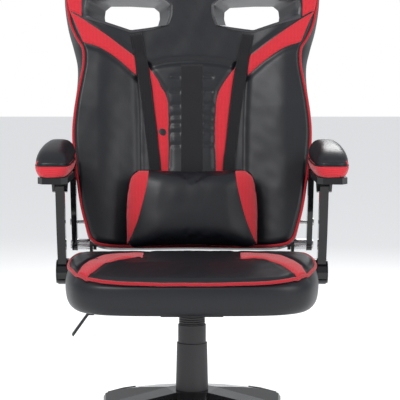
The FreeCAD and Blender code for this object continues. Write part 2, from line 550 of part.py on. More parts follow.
def build_side(word, side):
    upper_front_y = "hub_y - strut_forward"
    upper_front_z = "hub_z + strut_rise"
    upper_rear_y = "hinge_y - strut_forward"
    upper_rear_z = "hinge_z + strut_rise"
    face = "hub_face_x"
    strut_in = "hub_face_x + hub_flange + side_gap"
    strut_out = strut_in + " + front_strut_thick"
    # hub on the seat's side: spigot into the rail, flange, pivot pin
    hub = fuse("hub_body_" + word, [
        rod("spigot_" + word, "spigot_radius", "frame_half - 14", face, "hub_y", "hub_z", side),
        rod("flange_" + word, "hub_flange_radius", face, face + " + hub_flange", "hub_y", "hub_z", side),
        rod("hub_pin_" + word, "hub_pin_radius", face, strut_out + " + side_gap", "hub_y", "hub_z", side)])
    keep("arm_hub_" + word, hub)
    keep("hub_cap_" + word, rod("hub_cap_" + word, "hub_flange_radius - 3", strut_out + " + side_gap",
                                strut_out + " + side_gap + cap_height", "hub_y", "hub_z", side))
    body, drills = strut("front_" + word, side, strut_in, "front_strut_thick", "front_strut_width",
        "hub_y", "hub_z",
                         "hub_pin_radius + run_gap", "link_pin_radius + open_pin_gap",
                         "hub_flange_radius - 1",
                         "eye_radius - 2")
    keep("front_strut_" + word, cut("front_strut_" + word, body, drills))
    # rear strut, fast on the backrest
    body, drills = strut("rear_" + word, side, "rear_strut_x", "rear_strut_thick", "rear_strut_width",
        "hinge_y",
                         "hinge_z", "hinge_pin_radius", "link_pin_radius + run_gap", "eye_radius",
                         "eye_radius")
    drills.append(rod("strut_bolt_hole_" + word, "bolt_radius", "rear_strut_x - 1",
        "rear_strut_x + rear_strut_thick + 1",
                      "hinge_y - bolt_up * strut_forward", "hinge_z + bolt_up * strut_rise", side))
    keep("rear_strut_" + word, cut("rear_strut_" + word, body, drills))
    # bracket on the seat rail that carries the back's hinge
    plate = slab("bracket_plate_" + word, "YZ_Plane", [
        ("seat_rear + 2", "frame_bottom + 4"), ("frame_rear + 4", "frame_bottom + 4"),
        ("frame_rear + 4", "frame_top"),
        ("hinge_y + 15", "hinge_z"), ("hinge_y + 9", "hinge_z + 12"), ("hinge_y - 9", "hinge_z + 12"),
        ("hinge_y - 13", "hinge_z"), ("seat_rear + 2", "frame_top")], "bracket_thick")
    place(plate, span(side, "frame_half", "bracket_thick"), 0, 0)
    bracket = cut("bracket_" + word, plate, [
        rod("bracket_bore_" + word, "hinge_pin_radius + run_gap", "frame_half - 1",
        "frame_half + bracket_thick + 1",
            "hinge_y", "hinge_z", side)])
    keep("recline_bracket_" + word, bracket)
    pin = rod("recline_pin_rod_" + word, "hinge_pin_radius", "ear_x",
        "rear_strut_x + rear_strut_thick + 0.01",
              "hinge_y", "hinge_z", side)
    head = rod("recline_pin_head_" + word, "spacer_radius - 2", "rear_strut_x + rear_strut_thick",
               "rear_strut_x + rear_strut_thick + cap_height", "hinge_y", "hinge_z", side)
    spacer = rod("recline_spacer_" + word, "spacer_radius", "frame_half + bracket_thick + side_gap",
                 "rear_strut_x", "hinge_y", "hinge_z", side)
    RECLINE_PINS.append(fuse("recline_pin_" + word, [pin, head, spacer]))
    bolt = rod("strut_bolt_rod_" + word, "bolt_radius", "ear_x", "rear_strut_x + rear_strut_thick + 0.01",
               "hinge_y - bolt_up * strut_forward", "hinge_z + bolt_up * strut_rise", side)
    bolt_head = rod("strut_bolt_head_" + word, "bolt_radius + 4", "rear_strut_x + rear_strut_thick",
                    "rear_strut_x + rear_strut_thick + cap_height", "hinge_y - bolt_up * strut_forward",
                    "hinge_z + bolt_up * strut_rise", side)
    STRUT_BOLTS.append(fuse("strut_bolt_" + word, [bolt, bolt_head]))
    build_armrest(word, side, strut_in, strut_out, upper_front_y, upper_front_z, upper_rear_y, upper_rear_z)


def build_armrest(word, side, strut_in, strut_out, front_y, front_z, rear_y, rear_z):
    width = "arm_outer - arm_inner"
    tray = slab("tray_" + word, "XY_Plane", [
        ("6", "arm_front + 26"), ("16", "arm_front + 9"), (width + " - 16", "arm_front + 4"),
        (width + " - 4", "arm_front + 24"), (width + " - 4", "arm_rear - 40"),
        (width + " - 10", "arm_rear - 6"),
        ("10", "arm_rear - 4"), ("6", "arm_rear - 22")], "shell_top - shell_bottom", offset="shell_bottom")
    place(tray, span(side, "arm_inner", width), 0, 0)
    ears = []
    for number, low in enumerate((strut_in + " - side_gap - fork_wall", strut_out + " + side_gap")):
        ear = slab("fork_%s_%d" % (word, number), "YZ_Plane", [
            (front_y + " - fork_half", "shell_bottom + 1"), (front_y + " - 11", front_z + " - 10"),
            (front_y, front_z + " - 13"), (front_y + " + 11", front_z + " - 10"),
            (front_y + " + fork_half", "shell_bottom + 1")], "fork_wall")
        place(ear, span(side, low, "fork_wall"), 0, 0)
        ears.append(ear)
    pin = rod("fork_pin_" + word, "link_pin_radius", strut_in + " - side_gap - 1",
        strut_out + " + side_gap + 1",
              front_y, front_z, side)
    rear_in = "rear_strut_x + rear_strut_thick + side_gap"
    tail = slab("tail_" + word, "YZ_Plane", [
        ("arm_rear - 50", "shell_bottom"), (rear_y + " + 4", rear_z + " - 15"),
        (rear_y + " + 14", rear_z + " - 4"),
        (rear_y + " + 11", rear_z + " + 10"), (rear_y + " - 4", rear_z + " + 14"),
        (rear_y + " - 24", "shell_top"), ("arm_rear - 50", "shell_top")], "fork_wall + 1")
    place(tail, span(side, rear_in, "fork_wall + 1"), 0, 0)
    tail_pin = rod("tail_pin_" + word, "link_pin_radius", "rear_strut_x - 2", rear_in + " + 2", rear_y,
        rear_z, side)
    keep("arm_shell_" + word, fuse("arm_shell_" + word, [tray] + ears + [pin, tail, tail_pin]))
    pad_plan = slab("pad_plan_" + word, "XY_Plane", [
        ("0", "arm_front + 24"), ("10", "arm_front + 5"), ("24", "arm_front"), (width + " - 24", "arm_front"),
        (width + " - 8", "arm_front + 6"), (width, "arm_front + 26"), (width, "arm_rear - 40"),
        (width + " - 6", "arm_rear - 8"), (width + " - 22", "arm_rear"), ("14", "arm_rear"),
        ("0", "arm_rear - 16")],
        "pad_top - shell_top", offset="shell_top")
    place(pad_plan, span(side, "arm_inner", width), 0, 0)
    pad_side = slab("pad_side_" + word, "YZ_Plane", [
        ("arm_front - 1", "shell_top"), ("arm_front - 1", "pad_top - 26"), ("arm_front + 14", "pad_top - 8"),
        ("arm_front + 50", "pad_top"), ("arm_rear - 40", "pad_top"), ("arm_rear + 1", "pad_top - 16"),
        ("arm_rear + 1", "shell_top")], width + " + 4")
    place(pad_side, span(side, "arm_inner - 2", width + " + 4"), 0, 0)
    keep("arm_pad_" + word, common("arm_pad_" + word, pad_plan, pad_side))


# ---------------------------------------------------------------- backrest
def back_half_outline(inset="0"):
    """Right half of the backrest seen from the front, from the bottom edge up."""
    points = [("hip_half - 26", "-back_bottom"), ("hip_half - 8", "-back_bottom + 8"),
        ("hip_half + 10", "24"),
              ("rear_strut_x - 5", "90"), ("chest_half - 9", "178"), ("chest_half", "246"),
              ("chest_half - 2", "286"), ("waist_half + 3", "352"), ("waist_half", "396"),
              ("waist_half + 9", "434"), ("shoulder_half - 8", "hole_low + 36"),
              ("shoulder_half", "hole_high"),
              ("shoulder_half - 3", "hole_high + 40"), ("shoulder_half - 34", "hole_high + 96"),
              ("crown_half + 60", "back_top - 90"), ("crown_half + 34", "back_top - 40"),
              ("crown_half + 6", "back_top - 12"), ("crown_half - 30", "back_top")]
    return [("%s - %s" % (a, inset), b) for a, b in points]


def hole_outline(side, grow="0"):
    """Head-hole opening: five corners with a low point and a soft top."""
    corners = [("hole_inner + 11 - (%s)" % grow, "hole_low + 15 - (%s)" % grow),
               ("hole_point", "hole_low - 1.2 * (%s)" % grow),
               ("hole_outer + (%s)" % grow, "hole_low + 33 - (%s)" % grow),
               ("hole_outer - 3 + (%s)" % grow, "hole_high - 14 + (%s)" % grow),
               ("hole_outer - 22 + (%s)" % grow, "hole_high + (%s)" % grow),
               ("hole_inner + 16 - (%s)" % grow, "hole_high - 6 + (%s)" % grow),
               ("hole_inner - (%s)" % grow, "hole_high - 22")]
    return [("%d * (%s)" % (side, a), b) for a, b in corners]


def throat_outline(side):
    """Rear opening of a hole's funnel."""
    corners = [("hole_inner + 32", "hole_low + 30"), ("hole_point + 2", "hole_low + 17"),
        ("hole_outer - 42", "hole_low + 36"),
               ("hole_outer - 42", "hole_high - 16"), ("hole_outer - 56", "hole_high - 7"),
               ("hole_inner + 42", "hole_high - 11"), ("hole_inner + 30", "hole_high - 24")]
    return [("%d * (%s)" % (side, a), b) for a, b in corners]


def build_backrest():
    depth = "back_front + back_rear"
    body = slab("back_foam", "XZ_Plane", mirror_x(back_half_outline()), depth, offset="-back_rear")
    on_back(body)
    tools = []
    for word, side in SIDES.items():
        hole = slab("hole_room_" + word, "XZ_Plane", hole_outline(side, "foam_gap"), depth + " + 80",
            middle=True)
        tools.append(on_back(hole))
    room = slab("frame_recess", "XZ_Plane", mirror_x([
        ("ear_x + ear_thick + foam_gap", "24"), ("ear_x + ear_thick + foam_gap", "post_top + 2"),
        ("neck_half + foam_gap", "post_top + 2"), ("neck_half + foam_gap", "neck_top + 2")]),
        "back_rear + 5", offset="-back_rear - 1")
    tools.append(on_back(room))
    # the frame's ears reach forward into the foam, and the hinge stands clear of its lower corners
    for word, side in SIDES.items():
        ear = block("ear_room_" + word, span(side, "ear_x - foam_gap", "ear_thick + 2 * foam_gap"),
            "-40", "-back_bottom - 1",
                    "ear_thick + 2 * foam_gap", "back_rear + 41", "back_bottom + 78")
        tools.append(in_back(ear, span(side, "ear_x - foam_gap", "ear_thick + 2 * foam_gap"), "-40",
            "-back_bottom - 1"))
        corner = block("hinge_room_" + word, 0, 0, 0, "60", "back_rear + 35", "back_bottom + 32")
        tools.append(in_back(corner, span(side, "ear_x - 3", "60"), "-34", "-back_bottom - 1"))
        tools.append(rod("bolt_room_" + word, "bolt_radius + foam_gap", "ear_x", "shoulder_half",
                         "hinge_y - bolt_up * strut_forward", "hinge_z + bolt_up * strut_rise", side))
    keep("back_cushion", cut("back_cushion", body, tools))
    cover = slab("cover_body", "XZ_Plane", mirror_x([
        (a, b) for a, b in back_half_outline("6")][2:] ), "cover_thick", offset="-back_rear - cover_thick")
    on_back(cover)
    cover_holes = []
    for word, side in SIDES.items():
        hole = slab("cover_hole_" + word, "XZ_Plane", hole_outline(side, "foam_gap"), "120", middle=True)
        cover_holes.append(on_back(hole))
    keep("back_cover", cut("back_cover", cover, cover_holes))
    for word, side in SIDES.items():
        build_bezel(word, side)
        build_strap(word, side)
    build_back_frame()
    build_pillow()


def in_back(thing, x, v, w):
    """Place a piece at a point of the backrest's own leaning frame."""
    return place(thing, x, "hinge_y + (%s) * cos(back_lean * 1 deg) + (%s) * sin(back_lean * 1 deg)" % (v, w),
                 "hinge_z - (%s) * sin(back_lean * 1 deg) + (%s) * cos(back_lean * 1 deg)" % (v, w),
                 "back_lean", -X_AXIS)


def build_bezel(word, side):
    """Moulded funnel that lines a head hole."""
    depth = "back_front + back_rear + cover_thick"
    outer = slab("bezel_outer_" + word, "XZ_Plane", hole_outline(side), depth,
        offset="-back_rear - cover_thick")
    body = doc.addObject("PartDesign::Body", "bezel_throat_" + word)
    front = outline(body, "XZ_Plane", hole_outline(side, "-bezel_wall"), offset="back_front + 0.5")
    rear = outline(body, "XZ_Plane", throat_outline(side), offset="-back_rear - cover_thick - 0.5")
    loft = body.newObject("PartDesign::AdditiveLoft", "bezel_loft_" + word)
    loft.Profile = front
    loft.Sections = [rear]
    loft.Ruled = True
    keep("hole_bezel_" + word, cut("hole_bezel_" + word, on_back(outer), [on_back(body)]))


def build_back_frame():
    pieces = []
    for side in (1, -1):
        pieces.append(in_back(block("back_post_%d" % (side + 1), 0, 0, 0, "tube_side", "tube_side",
            "post_top - 30"),
                              span(side, "ear_x - tube_side", "tube_side"), "-3.5", "30"))
        ear = slab("back_ear_%d" % (side + 1), "YZ_Plane", [
            ("-9", "-12"), ("9", "-12"), ("13", "0"), ("tube_side - 6", "26"), ("tube_side - 6", "76"),
            ("-36", "76"),
            ("-36", "30"), ("-14", "2")], "ear_thick")
        place(ear, span(side, "ear_x", "ear_thick"), "hinge_y", "hinge_z", "back_lean", -X_AXIS)
        pieces.append(ear)
    for number, low in enumerate(("34", "post_top - 24 - 2")):
        pieces.append(in_back(block("back_cross_%d" % number, 0, 0, 0, "2 * ear_x - tube_side",
            "tube_side - 4", "22"),
                              "-ear_x + tube_side / 2", "-3", low))
    pieces.append(in_back(block("back_neck", 0, 0, 0, "2 * neck_half", "tube_side - 6",
        "neck_top - post_top + 10"),
                          "-neck_half", "-2", "post_top - 10"))
    frame = fuse("back_frame_body", pieces)
    drills = []
    for word, side in SIDES.items():
        drills.append(rod("ear_bore_" + word, "hinge_pin_radius", "ear_x - tube_side - 1",
            "ear_x + ear_thick + 1",
                          "hinge_y", "hinge_z", side))
        drills.append(rod("ear_bolt_bore_" + word, "bolt_radius", "ear_x - 1", "ear_x + ear_thick + 1",
                          "hinge_y - bolt_up * strut_forward", "hinge_z + bolt_up * strut_rise", side))
    keep("back_frame", cut("back_frame", frame, drills))


def build_strap(word, side):
    """Webbing from behind the pillow up to the low point of the head hole, lying on the cushion."""
    strap = slab("strap_" + word, "XZ_Plane", [
        ("%d * (strap_foot - strap_width / 2)" % side, "strap_low"),
        ("%d * (strap_foot + strap_width / 2)" % side, "strap_low"),
        ("%d * (strap_head + strap_width / 2)" % side, "hole_low - strap_drop"),
        ("%d * (strap_head - strap_width / 2)" % side, "hole_low - strap_drop")],
        "strap_thick", offset="back_front + strap_gap")
    keep("strap_" + word, on_back(strap))


def build_pillow():
    offset = "back_front + strap_thick + 2 * strap_gap"
    front_view = slab("pillow_view", "XZ_Plane", mirror_x([
        ("pillow_half - 14", "pillow_low"), ("pillow_half", "pillow_low + 12"),
        ("pillow_half - 5", "(pillow_low + pillow_high) / 2"),
        ("pillow_half", "pillow_high - 12"), ("pillow_half - 12", "pillow_high")]), "pillow_thick",
        offset=offset)
    side_view = slab("pillow_side", "YZ_Plane", [
        ("-(%s)" % offset, "pillow_low + 20"), ("-(%s) - 22" % offset, "pillow_low"),
        ("-(%s) - 62" % offset, "pillow_low + 4"),
        ("-(%s) - pillow_thick" % offset, "pillow_low + 60"),
        ("-(%s) - pillow_thick" % offset, "pillow_high - 62"),
        ("-(%s) - 60" % offset, "pillow_high - 6"), ("-(%s) - 22" % offset, "pillow_high"),
        ("-(%s)" % offset, "pillow_high - 20")], "2 * pillow_half + 4", middle=True)
    keep("lumbar_pillow", common("lumbar_pillow", on_back(front_view), on_back(side_view)))


# ---------------------------------------------------------------- recline lever
def build_release():
    side = -1
    pivot = rod("release_hub", "11", "frame_half + bracket_thick + side_gap",
        "frame_half + bracket_thick + 10",
                "release_y", "release_z", side)
    reach = rod("release_reach", "lever_radius", "frame_half + bracket_thick + 9", "release_x", "release_y",
                "release_z", side)
    elbow = doc.addObject("Part::Sphere", "release_elbow")
    bind(elbow, Radius="lever_radius + 0.8")
    place(elbow, "-release_x", "release_y", "release_z")
    arm = doc.addObject("Part::Cylinder", "release_arm")
    bind(arm, Radius="lever_radius", Height="release_y - release_front - 40")
    place(arm, "-release_x", "release_y", "release_z", "90", X_AXIS)
    lever = cut("release_lever", fuse("release_body", [pivot, reach, elbow, arm]), [
        rod("release_bore", "lever_radius - 1 + run_gap", "frame_half + bracket_thick",
        "frame_half + bracket_thick + 8",
            "release_y", "release_z", side)])
    keep("recline_lever", lever)
    grip = doc.addObject("Part::Cone", "release_grip")
    bind(grip, Radius1="grip_radius - 2", Radius2="grip_radius", Height="78")
    place(grip, "-release_x", "release_front + 78", "release_z", "90", X_AXIS)
    bore = doc.addObject("Part::Cylinder", "grip_bore")
    bind(bore, Radius="lever_radius", Height="38")
    place(bore, "-release_x", "release_front + 78", "release_z", "90", X_AXIS)
    keep("recline_grip", cut("recline_grip", grip, [bore]))
    keep("release_pin", rod("release_pin", "lever_radius - 1", "frame_half + bracket_thick",
                            "frame_half + bracket_thick + 7.5", "release_y", "release_z", side))


build_base()
build_base_fittings()
for number, angle in enumerate(ARM_ANGLES, 1):
    build_caster(number, angle)
build_column()
build_mechanism()
build_seat()
for word, side in SIDES.items():
    build_side(word, side)
keep("recline_pins", group("recline_pins", RECLINE_PINS))
keep("strut_bolts", group("strut_bolts", STRUT_BOLTS))
build_backrest()
build_release()
doc.recompute()

faults = []
for thing in doc.Objects:
    if "Invalid" in thing.State or "Error" in thing.State:
        faults.append("%s (%s): %s" % (thing.Name, thing.Label, thing.State))
for name, thing in PARTS.items():
    if thing.Shape.isNull() or not thing.Shape.isValid():
        faults.append(name + ": empty or invalid shape")
if faults:
    raise RuntimeError("\n".join(faults))

os.makedirs("parts", exist_ok=True)
for name, thing in PARTS.items():
    thing.Shape.exportStep("parts/%s.step" % name)
print(len(PARTS), "sub-parts")
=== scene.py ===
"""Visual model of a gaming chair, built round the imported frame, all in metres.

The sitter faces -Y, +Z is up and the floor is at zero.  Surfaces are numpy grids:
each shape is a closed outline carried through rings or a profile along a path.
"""
import json
import math
import bmesh
import bpy
import numpy as np
from bpy.props import FloatProperty, FloatVectorProperty, PointerProperty
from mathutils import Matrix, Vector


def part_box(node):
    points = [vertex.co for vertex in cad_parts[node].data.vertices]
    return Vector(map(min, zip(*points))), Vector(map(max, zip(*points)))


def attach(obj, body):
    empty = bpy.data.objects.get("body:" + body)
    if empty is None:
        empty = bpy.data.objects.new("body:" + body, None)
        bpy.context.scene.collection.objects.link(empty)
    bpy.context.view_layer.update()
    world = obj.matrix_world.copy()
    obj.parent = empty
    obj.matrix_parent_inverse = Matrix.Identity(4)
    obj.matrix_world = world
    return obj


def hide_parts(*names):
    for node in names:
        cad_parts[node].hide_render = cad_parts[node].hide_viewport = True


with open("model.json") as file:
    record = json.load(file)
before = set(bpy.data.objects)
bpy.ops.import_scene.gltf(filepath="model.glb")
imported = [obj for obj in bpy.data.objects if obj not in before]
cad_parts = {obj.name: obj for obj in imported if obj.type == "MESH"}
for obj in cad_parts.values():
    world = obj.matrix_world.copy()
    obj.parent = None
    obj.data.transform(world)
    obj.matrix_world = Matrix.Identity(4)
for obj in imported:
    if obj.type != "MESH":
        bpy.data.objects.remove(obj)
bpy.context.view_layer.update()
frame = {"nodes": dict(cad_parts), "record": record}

bl_info = {
    "name": "Reclining gaming chair",
    "version": (1, 0),
    "blender": (4, 5, 0),
    "location": "3D View > Sidebar > Chair",
    "description": "Builds the upholstery, shells and finishes of a gaming chair",
    "category": "Object",
}

SIDES = {"left": 1.0, "right": -1.0}
LEAN = math.radians(11)
HINGE = np.array([0.0, 0.230, 0.432])
BACK_UP = np.array([0.0, math.sin(LEAN), math.cos(LEAN)])
BACK_REARWARD = np.array([0.0, math.cos(LEAN), -math.sin(LEAN)])


# ------------------------------------------------------------------ settings
class UpholsterySettings(bpy.types.PropertyGroup):
    """Colours and sizes of the sewn pieces."""
    leather: FloatVectorProperty(name="Leather", description="Coated leather colour", subtype="COLOR",
                                 size=3, min=0, max=1, default=(0.0065, 0.0070, 0.0100))
    red: FloatVectorProperty(name="Red mesh", description="Woven insert colour", subtype="COLOR",
                             size=3, min=0, max=1, default=(0.66, 0.028, 0.042))
    piping: FloatVectorProperty(name="Piping", description="Piping fabric colour", subtype="COLOR",
                                size=3, min=0, max=1, default=(0.52, 0.016, 0.028))
    piping_radius: FloatProperty(name="Piping radius", description="Half the thickness of the piping",
                                 default=0.0036, unit="LENGTH")
    seat_crown: FloatProperty(name="Seat crown", description="Rise of the seat's middle over its piping",
                              default=0.020, unit="LENGTH")
    bolster: FloatProperty(name="Bolster", description="How far the back's sides stand forward",
                           default=0.024, unit="LENGTH")
    strap_width: FloatProperty(name="Strap width", description="Width of the pillow straps",
                               default=0.024, unit="LENGTH")
    swell: FloatProperty(name="Pillow swell", description="Furthest a point may move when the pillow fills",
                         default=0.005, unit="LENGTH")


class HardwareSettings(bpy.types.PropertyGroup):
    """Colours and sizes of the moulded and metal pieces."""
    gloss: FloatVectorProperty(name="Gloss black", description="Lacquered arm colour", subtype="COLOR",
                               size=3, min=0, max=1, default=(0.004, 0.004, 0.005))
    cover: FloatVectorProperty(name="Column cover", description="Matt cover colour", subtype="COLOR",
                               size=3, min=0, max=1, default=(0.038, 0.037, 0.039))
    bezel: FloatVectorProperty(name="Bezel", description="Head-slot funnel colour", subtype="COLOR",
                               size=3, min=0, max=1, default=(0.035, 0.035, 0.040))


class StageSettings(bpy.types.PropertyGroup):
    """Floor, lamps and camera."""
    floor: FloatVectorProperty(name="Floor", description="Floor colour", subtype="COLOR",
                               size=3, min=0, max=1, default=(0.96, 0.96, 0.96))
    distance: FloatProperty(name="Camera distance", description="Camera to the column's axis",
                            default=3.2, unit="LENGTH")
    height: FloatProperty(name="Camera height", description="Camera above the floor",
                          default=0.839, unit="LENGTH")
    pitch: FloatProperty(name="Camera pitch", description="Angle below level, in degrees", default=5.14)
    lens: FloatProperty(name="Lens", description="Focal length on a 36 mm sensor, in millimetres",
        default=140.0)
    shift: FloatProperty(name="Shift", description="Sideways lens shift", default=0.02)


# ------------------------------------------------------------------ curves
def spline(points, count, closed=False):
    """Catmull-Rom curve through points, sampled evenly in length.

    Between two points the curve is the cubic whose slopes are half the
    difference of the neighbours on either side.
    """
    pts = np.asarray(points, float)
    if closed:
        ext = np.vstack([pts[-1:], pts, pts[:2]])
    else:
        ext = np.vstack([2 * pts[:1] - pts[1:2], pts, 2 * pts[-1:] - pts[-2:-1]])
    spans = len(ext) - 3
    u = np.linspace(0, spans, spans * 24 + 1)
    k = np.minimum(u.astype(int), spans - 1)
    t = (u - k)[:, None]
    a, b, c, d = ext[k], ext[k + 1], ext[k + 2], ext[k + 3]
    fine = 0.5 * (2 * b + (c - a) * t + (2 * a - 5 * b + 4 * c - d) * t ** 2 + (3 * b - a - 3 * c + d) * t ** 3)
    along = np.concatenate([[0], np.cumsum(np.linalg.norm(np.diff(fine, axis=0), axis=1))])
    at = np.linspace(0, along[-1], count + 1)[:-1] if closed else np.linspace(0, along[-1], count)
    return np.stack([np.interp(at, along, fine[:, i]) for i in range(fine.shape[1])], axis=1)


def polar(points, angles, centre=(0, 0)):
    """Closed outline through points, read off at given angles round a centre."""
    fine = spline(points, 1600, closed=True) - np.asarray(centre, float)
    bearing = np.unwrap(np.arctan2(fine[:, 1], fine[:, 0]))
    if bearing[-1] < bearing[0]:
        fine, bearing = fine[::-1], bearing[::-1]
    turns = 2 * math.pi
    bearing = np.concatenate([bearing - turns, bearing, bearing + turns])
    reach = np.tile(np.linalg.norm(fine, axis=1), 3)
    radius = np.interp(angles, bearing, reach)
    return np.stack([np.cos(angles), np.sin(angles)], axis=1) * radius[:, None] + np.asarray(centre, float)


def both_sides(half):
    """Closed outline from its +X half, listed from the bottom to the top."""
    half = list(half)
    return half + [(-x, y) for x, y in reversed(half) if x > 1e-6]


def distance_to(path, x, y):
    """Distance from each point to a path of straight pieces in the same plane."""
    p = np.asarray(path, float)
    a, b = p[:-1], p[1:]
    span = b - a
    q = np.stack([x, y], axis=-1)[..., None, :]
    t = np.clip(((q - a) * span).sum(-1) / (span ** 2).sum(-1), 0, 1)
    return np.linalg.norm(q - (a + t[..., None] * span), axis=-1).min(-1)


def noise2(x, y, seed, scale):
    """Smooth wandering height from a few crossed sine waves of fixed seed, about -1 to 1."""
    rng = np.random.default_rng(seed)
    total = np.zeros(np.broadcast(x, y).shape)
    for _ in range(7):
        angle, phase, pitch = rng.uniform(0, 2 * math.pi), rng.uniform(0, 2 * math.pi), rng.uniform(0.6, 1.7)
        total += np.sin((np.cos(angle) * x + np.sin(angle) * y) * pitch / scale * 2 * math.pi + phase)
    return total / 4.0


# ------------------------------------------------------------------ meshes
def grid_faces(rows, columns, wrap_rows=False, wrap_columns=False, start=0):
    """Quads over a grid of points, joined round on the sides that wrap."""
    r = np.arange(rows if wrap_rows else rows - 1)
    c = np.arange(columns if wrap_columns else columns - 1)
    i, j = np.meshgrid(r, c, indexing="ij")
    i2, j2 = (i + 1) % rows, (j + 1) % columns
    quad = np.stack([i * columns + j, i * columns + j2, i2 * columns + j2, i2 * columns + j], axis=-1)
    return quad.reshape(-1, 4) + start


class Shape:
    """Vertices and faces gathered for one object."""

    def __init__(self):
        self.points, self.faces, self.count = [], [], 0

    def grid(self, p, wrap_rows=False, wrap_columns=False, caps=False):
        """Add a grid; caps close the first and last row with a fan about its middle."""
        rows, columns = p.shape[:2]
        faces = grid_faces(rows, columns, wrap_rows, wrap_columns, self.count).tolist()
        self.points.append(p.reshape(-1, 3))
        base = self.count
        self.count += rows * columns
        if caps:
            for row, order in ((0, 1), (rows - 1, -1)):
                self.points.append(p[row].mean(axis=0)[None])
                ring = base + row * columns + np.arange(columns)
                nxt = np.roll(ring, -order)
                faces += [[self.count, int(b), int(a)] for a, b in zip(ring, nxt)]
                self.count += 1
        self.faces += faces
        return self

    def build(self, name, material, body, slot, replaces=(), smooth=60.0, weld=1e-6):
        """Make the object, face it outwards, and put it on its body."""
        mesh = bpy.data.meshes.new(name)
        mesh.from_pydata(np.concatenate(self.points).tolist(), [], self.faces)
        tidy_mesh(mesh, weld)
        piece = bpy.data.objects.new(name, mesh)
        bpy.context.scene.collection.objects.link(piece)
        mesh.materials.append(material)
        mesh.shade_smooth()
        mesh.set_sharp_from_angle(angle=math.radians(smooth))
        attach(piece, body)
        if replaces:
            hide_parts(*replaces)
        return piece


def tidy_mesh(mesh, weld=1e-6):
    """Merge doubled points, drop flat faces and turn every face outwards."""
    work = bmesh.new()
    work.from_mesh(mesh)
    bmesh.ops.remove_doubles(work, verts=work.verts, dist=weld)
    bmesh.ops.dissolve_degenerate(work, edges=work.edges, dist=weld)
    bmesh.ops.recalc_face_normals(work, faces=work.faces)
    work.to_mesh(mesh)
    work.free()


def rings_to_skin(rings, between):
    """Carry a stack of closed rings through each other on Catmull-Rom curves.

    rings is (levels, around, 3); the result has between points per level.
    """
    ext = np.concatenate([2 * rings[:1] - rings[1:2], rings, 2 * rings[-1:] - rings[-2:-1]])
    levels = len(rings) - 1
    u = np.linspace(0, levels, levels * between + 1)
    k = np.minimum(u.astype(int), levels - 1)
    t = (u - k)[:, None, None]
    a, b, c, d = ext[k], ext[k + 1], ext[k + 2], ext[k + 3]
    return 0.5 * (2 * b + (c - a) * t + (2 * a - 5 * b + 4 * c - d) * t ** 2 + (3 * b - a - 3 * c + d) * t ** 3)


def tube(path, radius, closed=True, up=(0, 0, 1), sides=10, squeeze=1.0):
    """Round section carried along a path; squeeze flattens it towards the surface it lies on."""
    p = np.asarray(path, float)
    if closed:
        along = np.roll(p, -1, 0) - np.roll(p, 1, 0)
    else:
        along = np.gradient(p, axis=0)
    along /= np.linalg.norm(along, axis=1)[:, None]
    lift = np.broadcast_to(np.asarray(up, float), p.shape)
    side = np.cross(along, lift)
    side /= np.linalg.norm(side, axis=1)[:, None] + 1e-12
    lift = np.cross(side, along)
    angle = np.linspace(0, 2 * math.pi, sides, endpoint=False)
    ring = (np.cos(angle)[None, :, None] * side[:, None] + squeeze * np.sin(angle)[None, :, None] * lift[:,
        None])
    return p[:, None] + np.asarray(radius).reshape(-1, 1, 1) * ring


def on_back(x, v, w):
    """Point of the backrest: x across, v rearward of the hinge, w up the leaning back."""
    x, v, w = np.broadcast_arrays(x, v, w)
    return (HINGE + x[..., None] * np.array([1.0, 0, 0]) + v[..., None] * BACK_REARWARD + w[...,
        None] * BACK_UP)


def cut_prisms(piece, cutters):
    """Cut closed prisms out of a closed mesh and keep the result as its mesh."""
    for cutter in cutters:
        change = piece.modifiers.new("hole", "BOOLEAN")
        change.operation = "DIFFERENCE"
        change.solver = "EXACT"
        change.object = cutter
    result = bpy.data.meshes.new_from_object(piece.evaluated_get(bpy.context.evaluated_depsgraph_get()))
    piece.modifiers.clear()
    old, piece.data = piece.data, result
    bpy.data.meshes.remove(old)
    for cutter in cutters:
        bpy.data.objects.remove(cutter)
    result.shade_smooth()
    result.set_sharp_from_angle(angle=math.radians(50))


# ------------------------------------------------------------------ node groups
def new_group(name, inputs, outputs):
    """Shader node group with named sockets and their default numbers."""
    tree = bpy.data.node_groups.new(name, "ShaderNodeTree")
    for label, kind, default in inputs:
        socket = tree.interface.new_socket(name=label, in_out="INPUT", socket_type=kind)
        if default is not None:
            socket.default_value = default
    for label, kind in outputs:
        tree.interface.new_socket(name=label, in_out="OUTPUT", socket_type=kind)
    return tree, tree.nodes.new("NodeGroupInput"), tree.nodes.new("NodeGroupOutput")


def node(tree, kind, links=None, **settings):
    """Add a node, set its properties and sockets, and link its inputs."""
    made = tree.nodes.new(kind)
    for name, setting in settings.items():
        setattr(made, name, setting)
    for socket, source in (links or {}).items():
        if isinstance(source, (int, float, tuple)):
            made.inputs[socket].default_value = source
        else:
            tree.links.new(source, made.inputs[socket])
    return made


def math_node(tree, operation, a, b=0.0, c=0.0):
    return node(tree, "ShaderNodeMath", {0: a, 1: b, 2: c}, operation=operation).outputs[0]


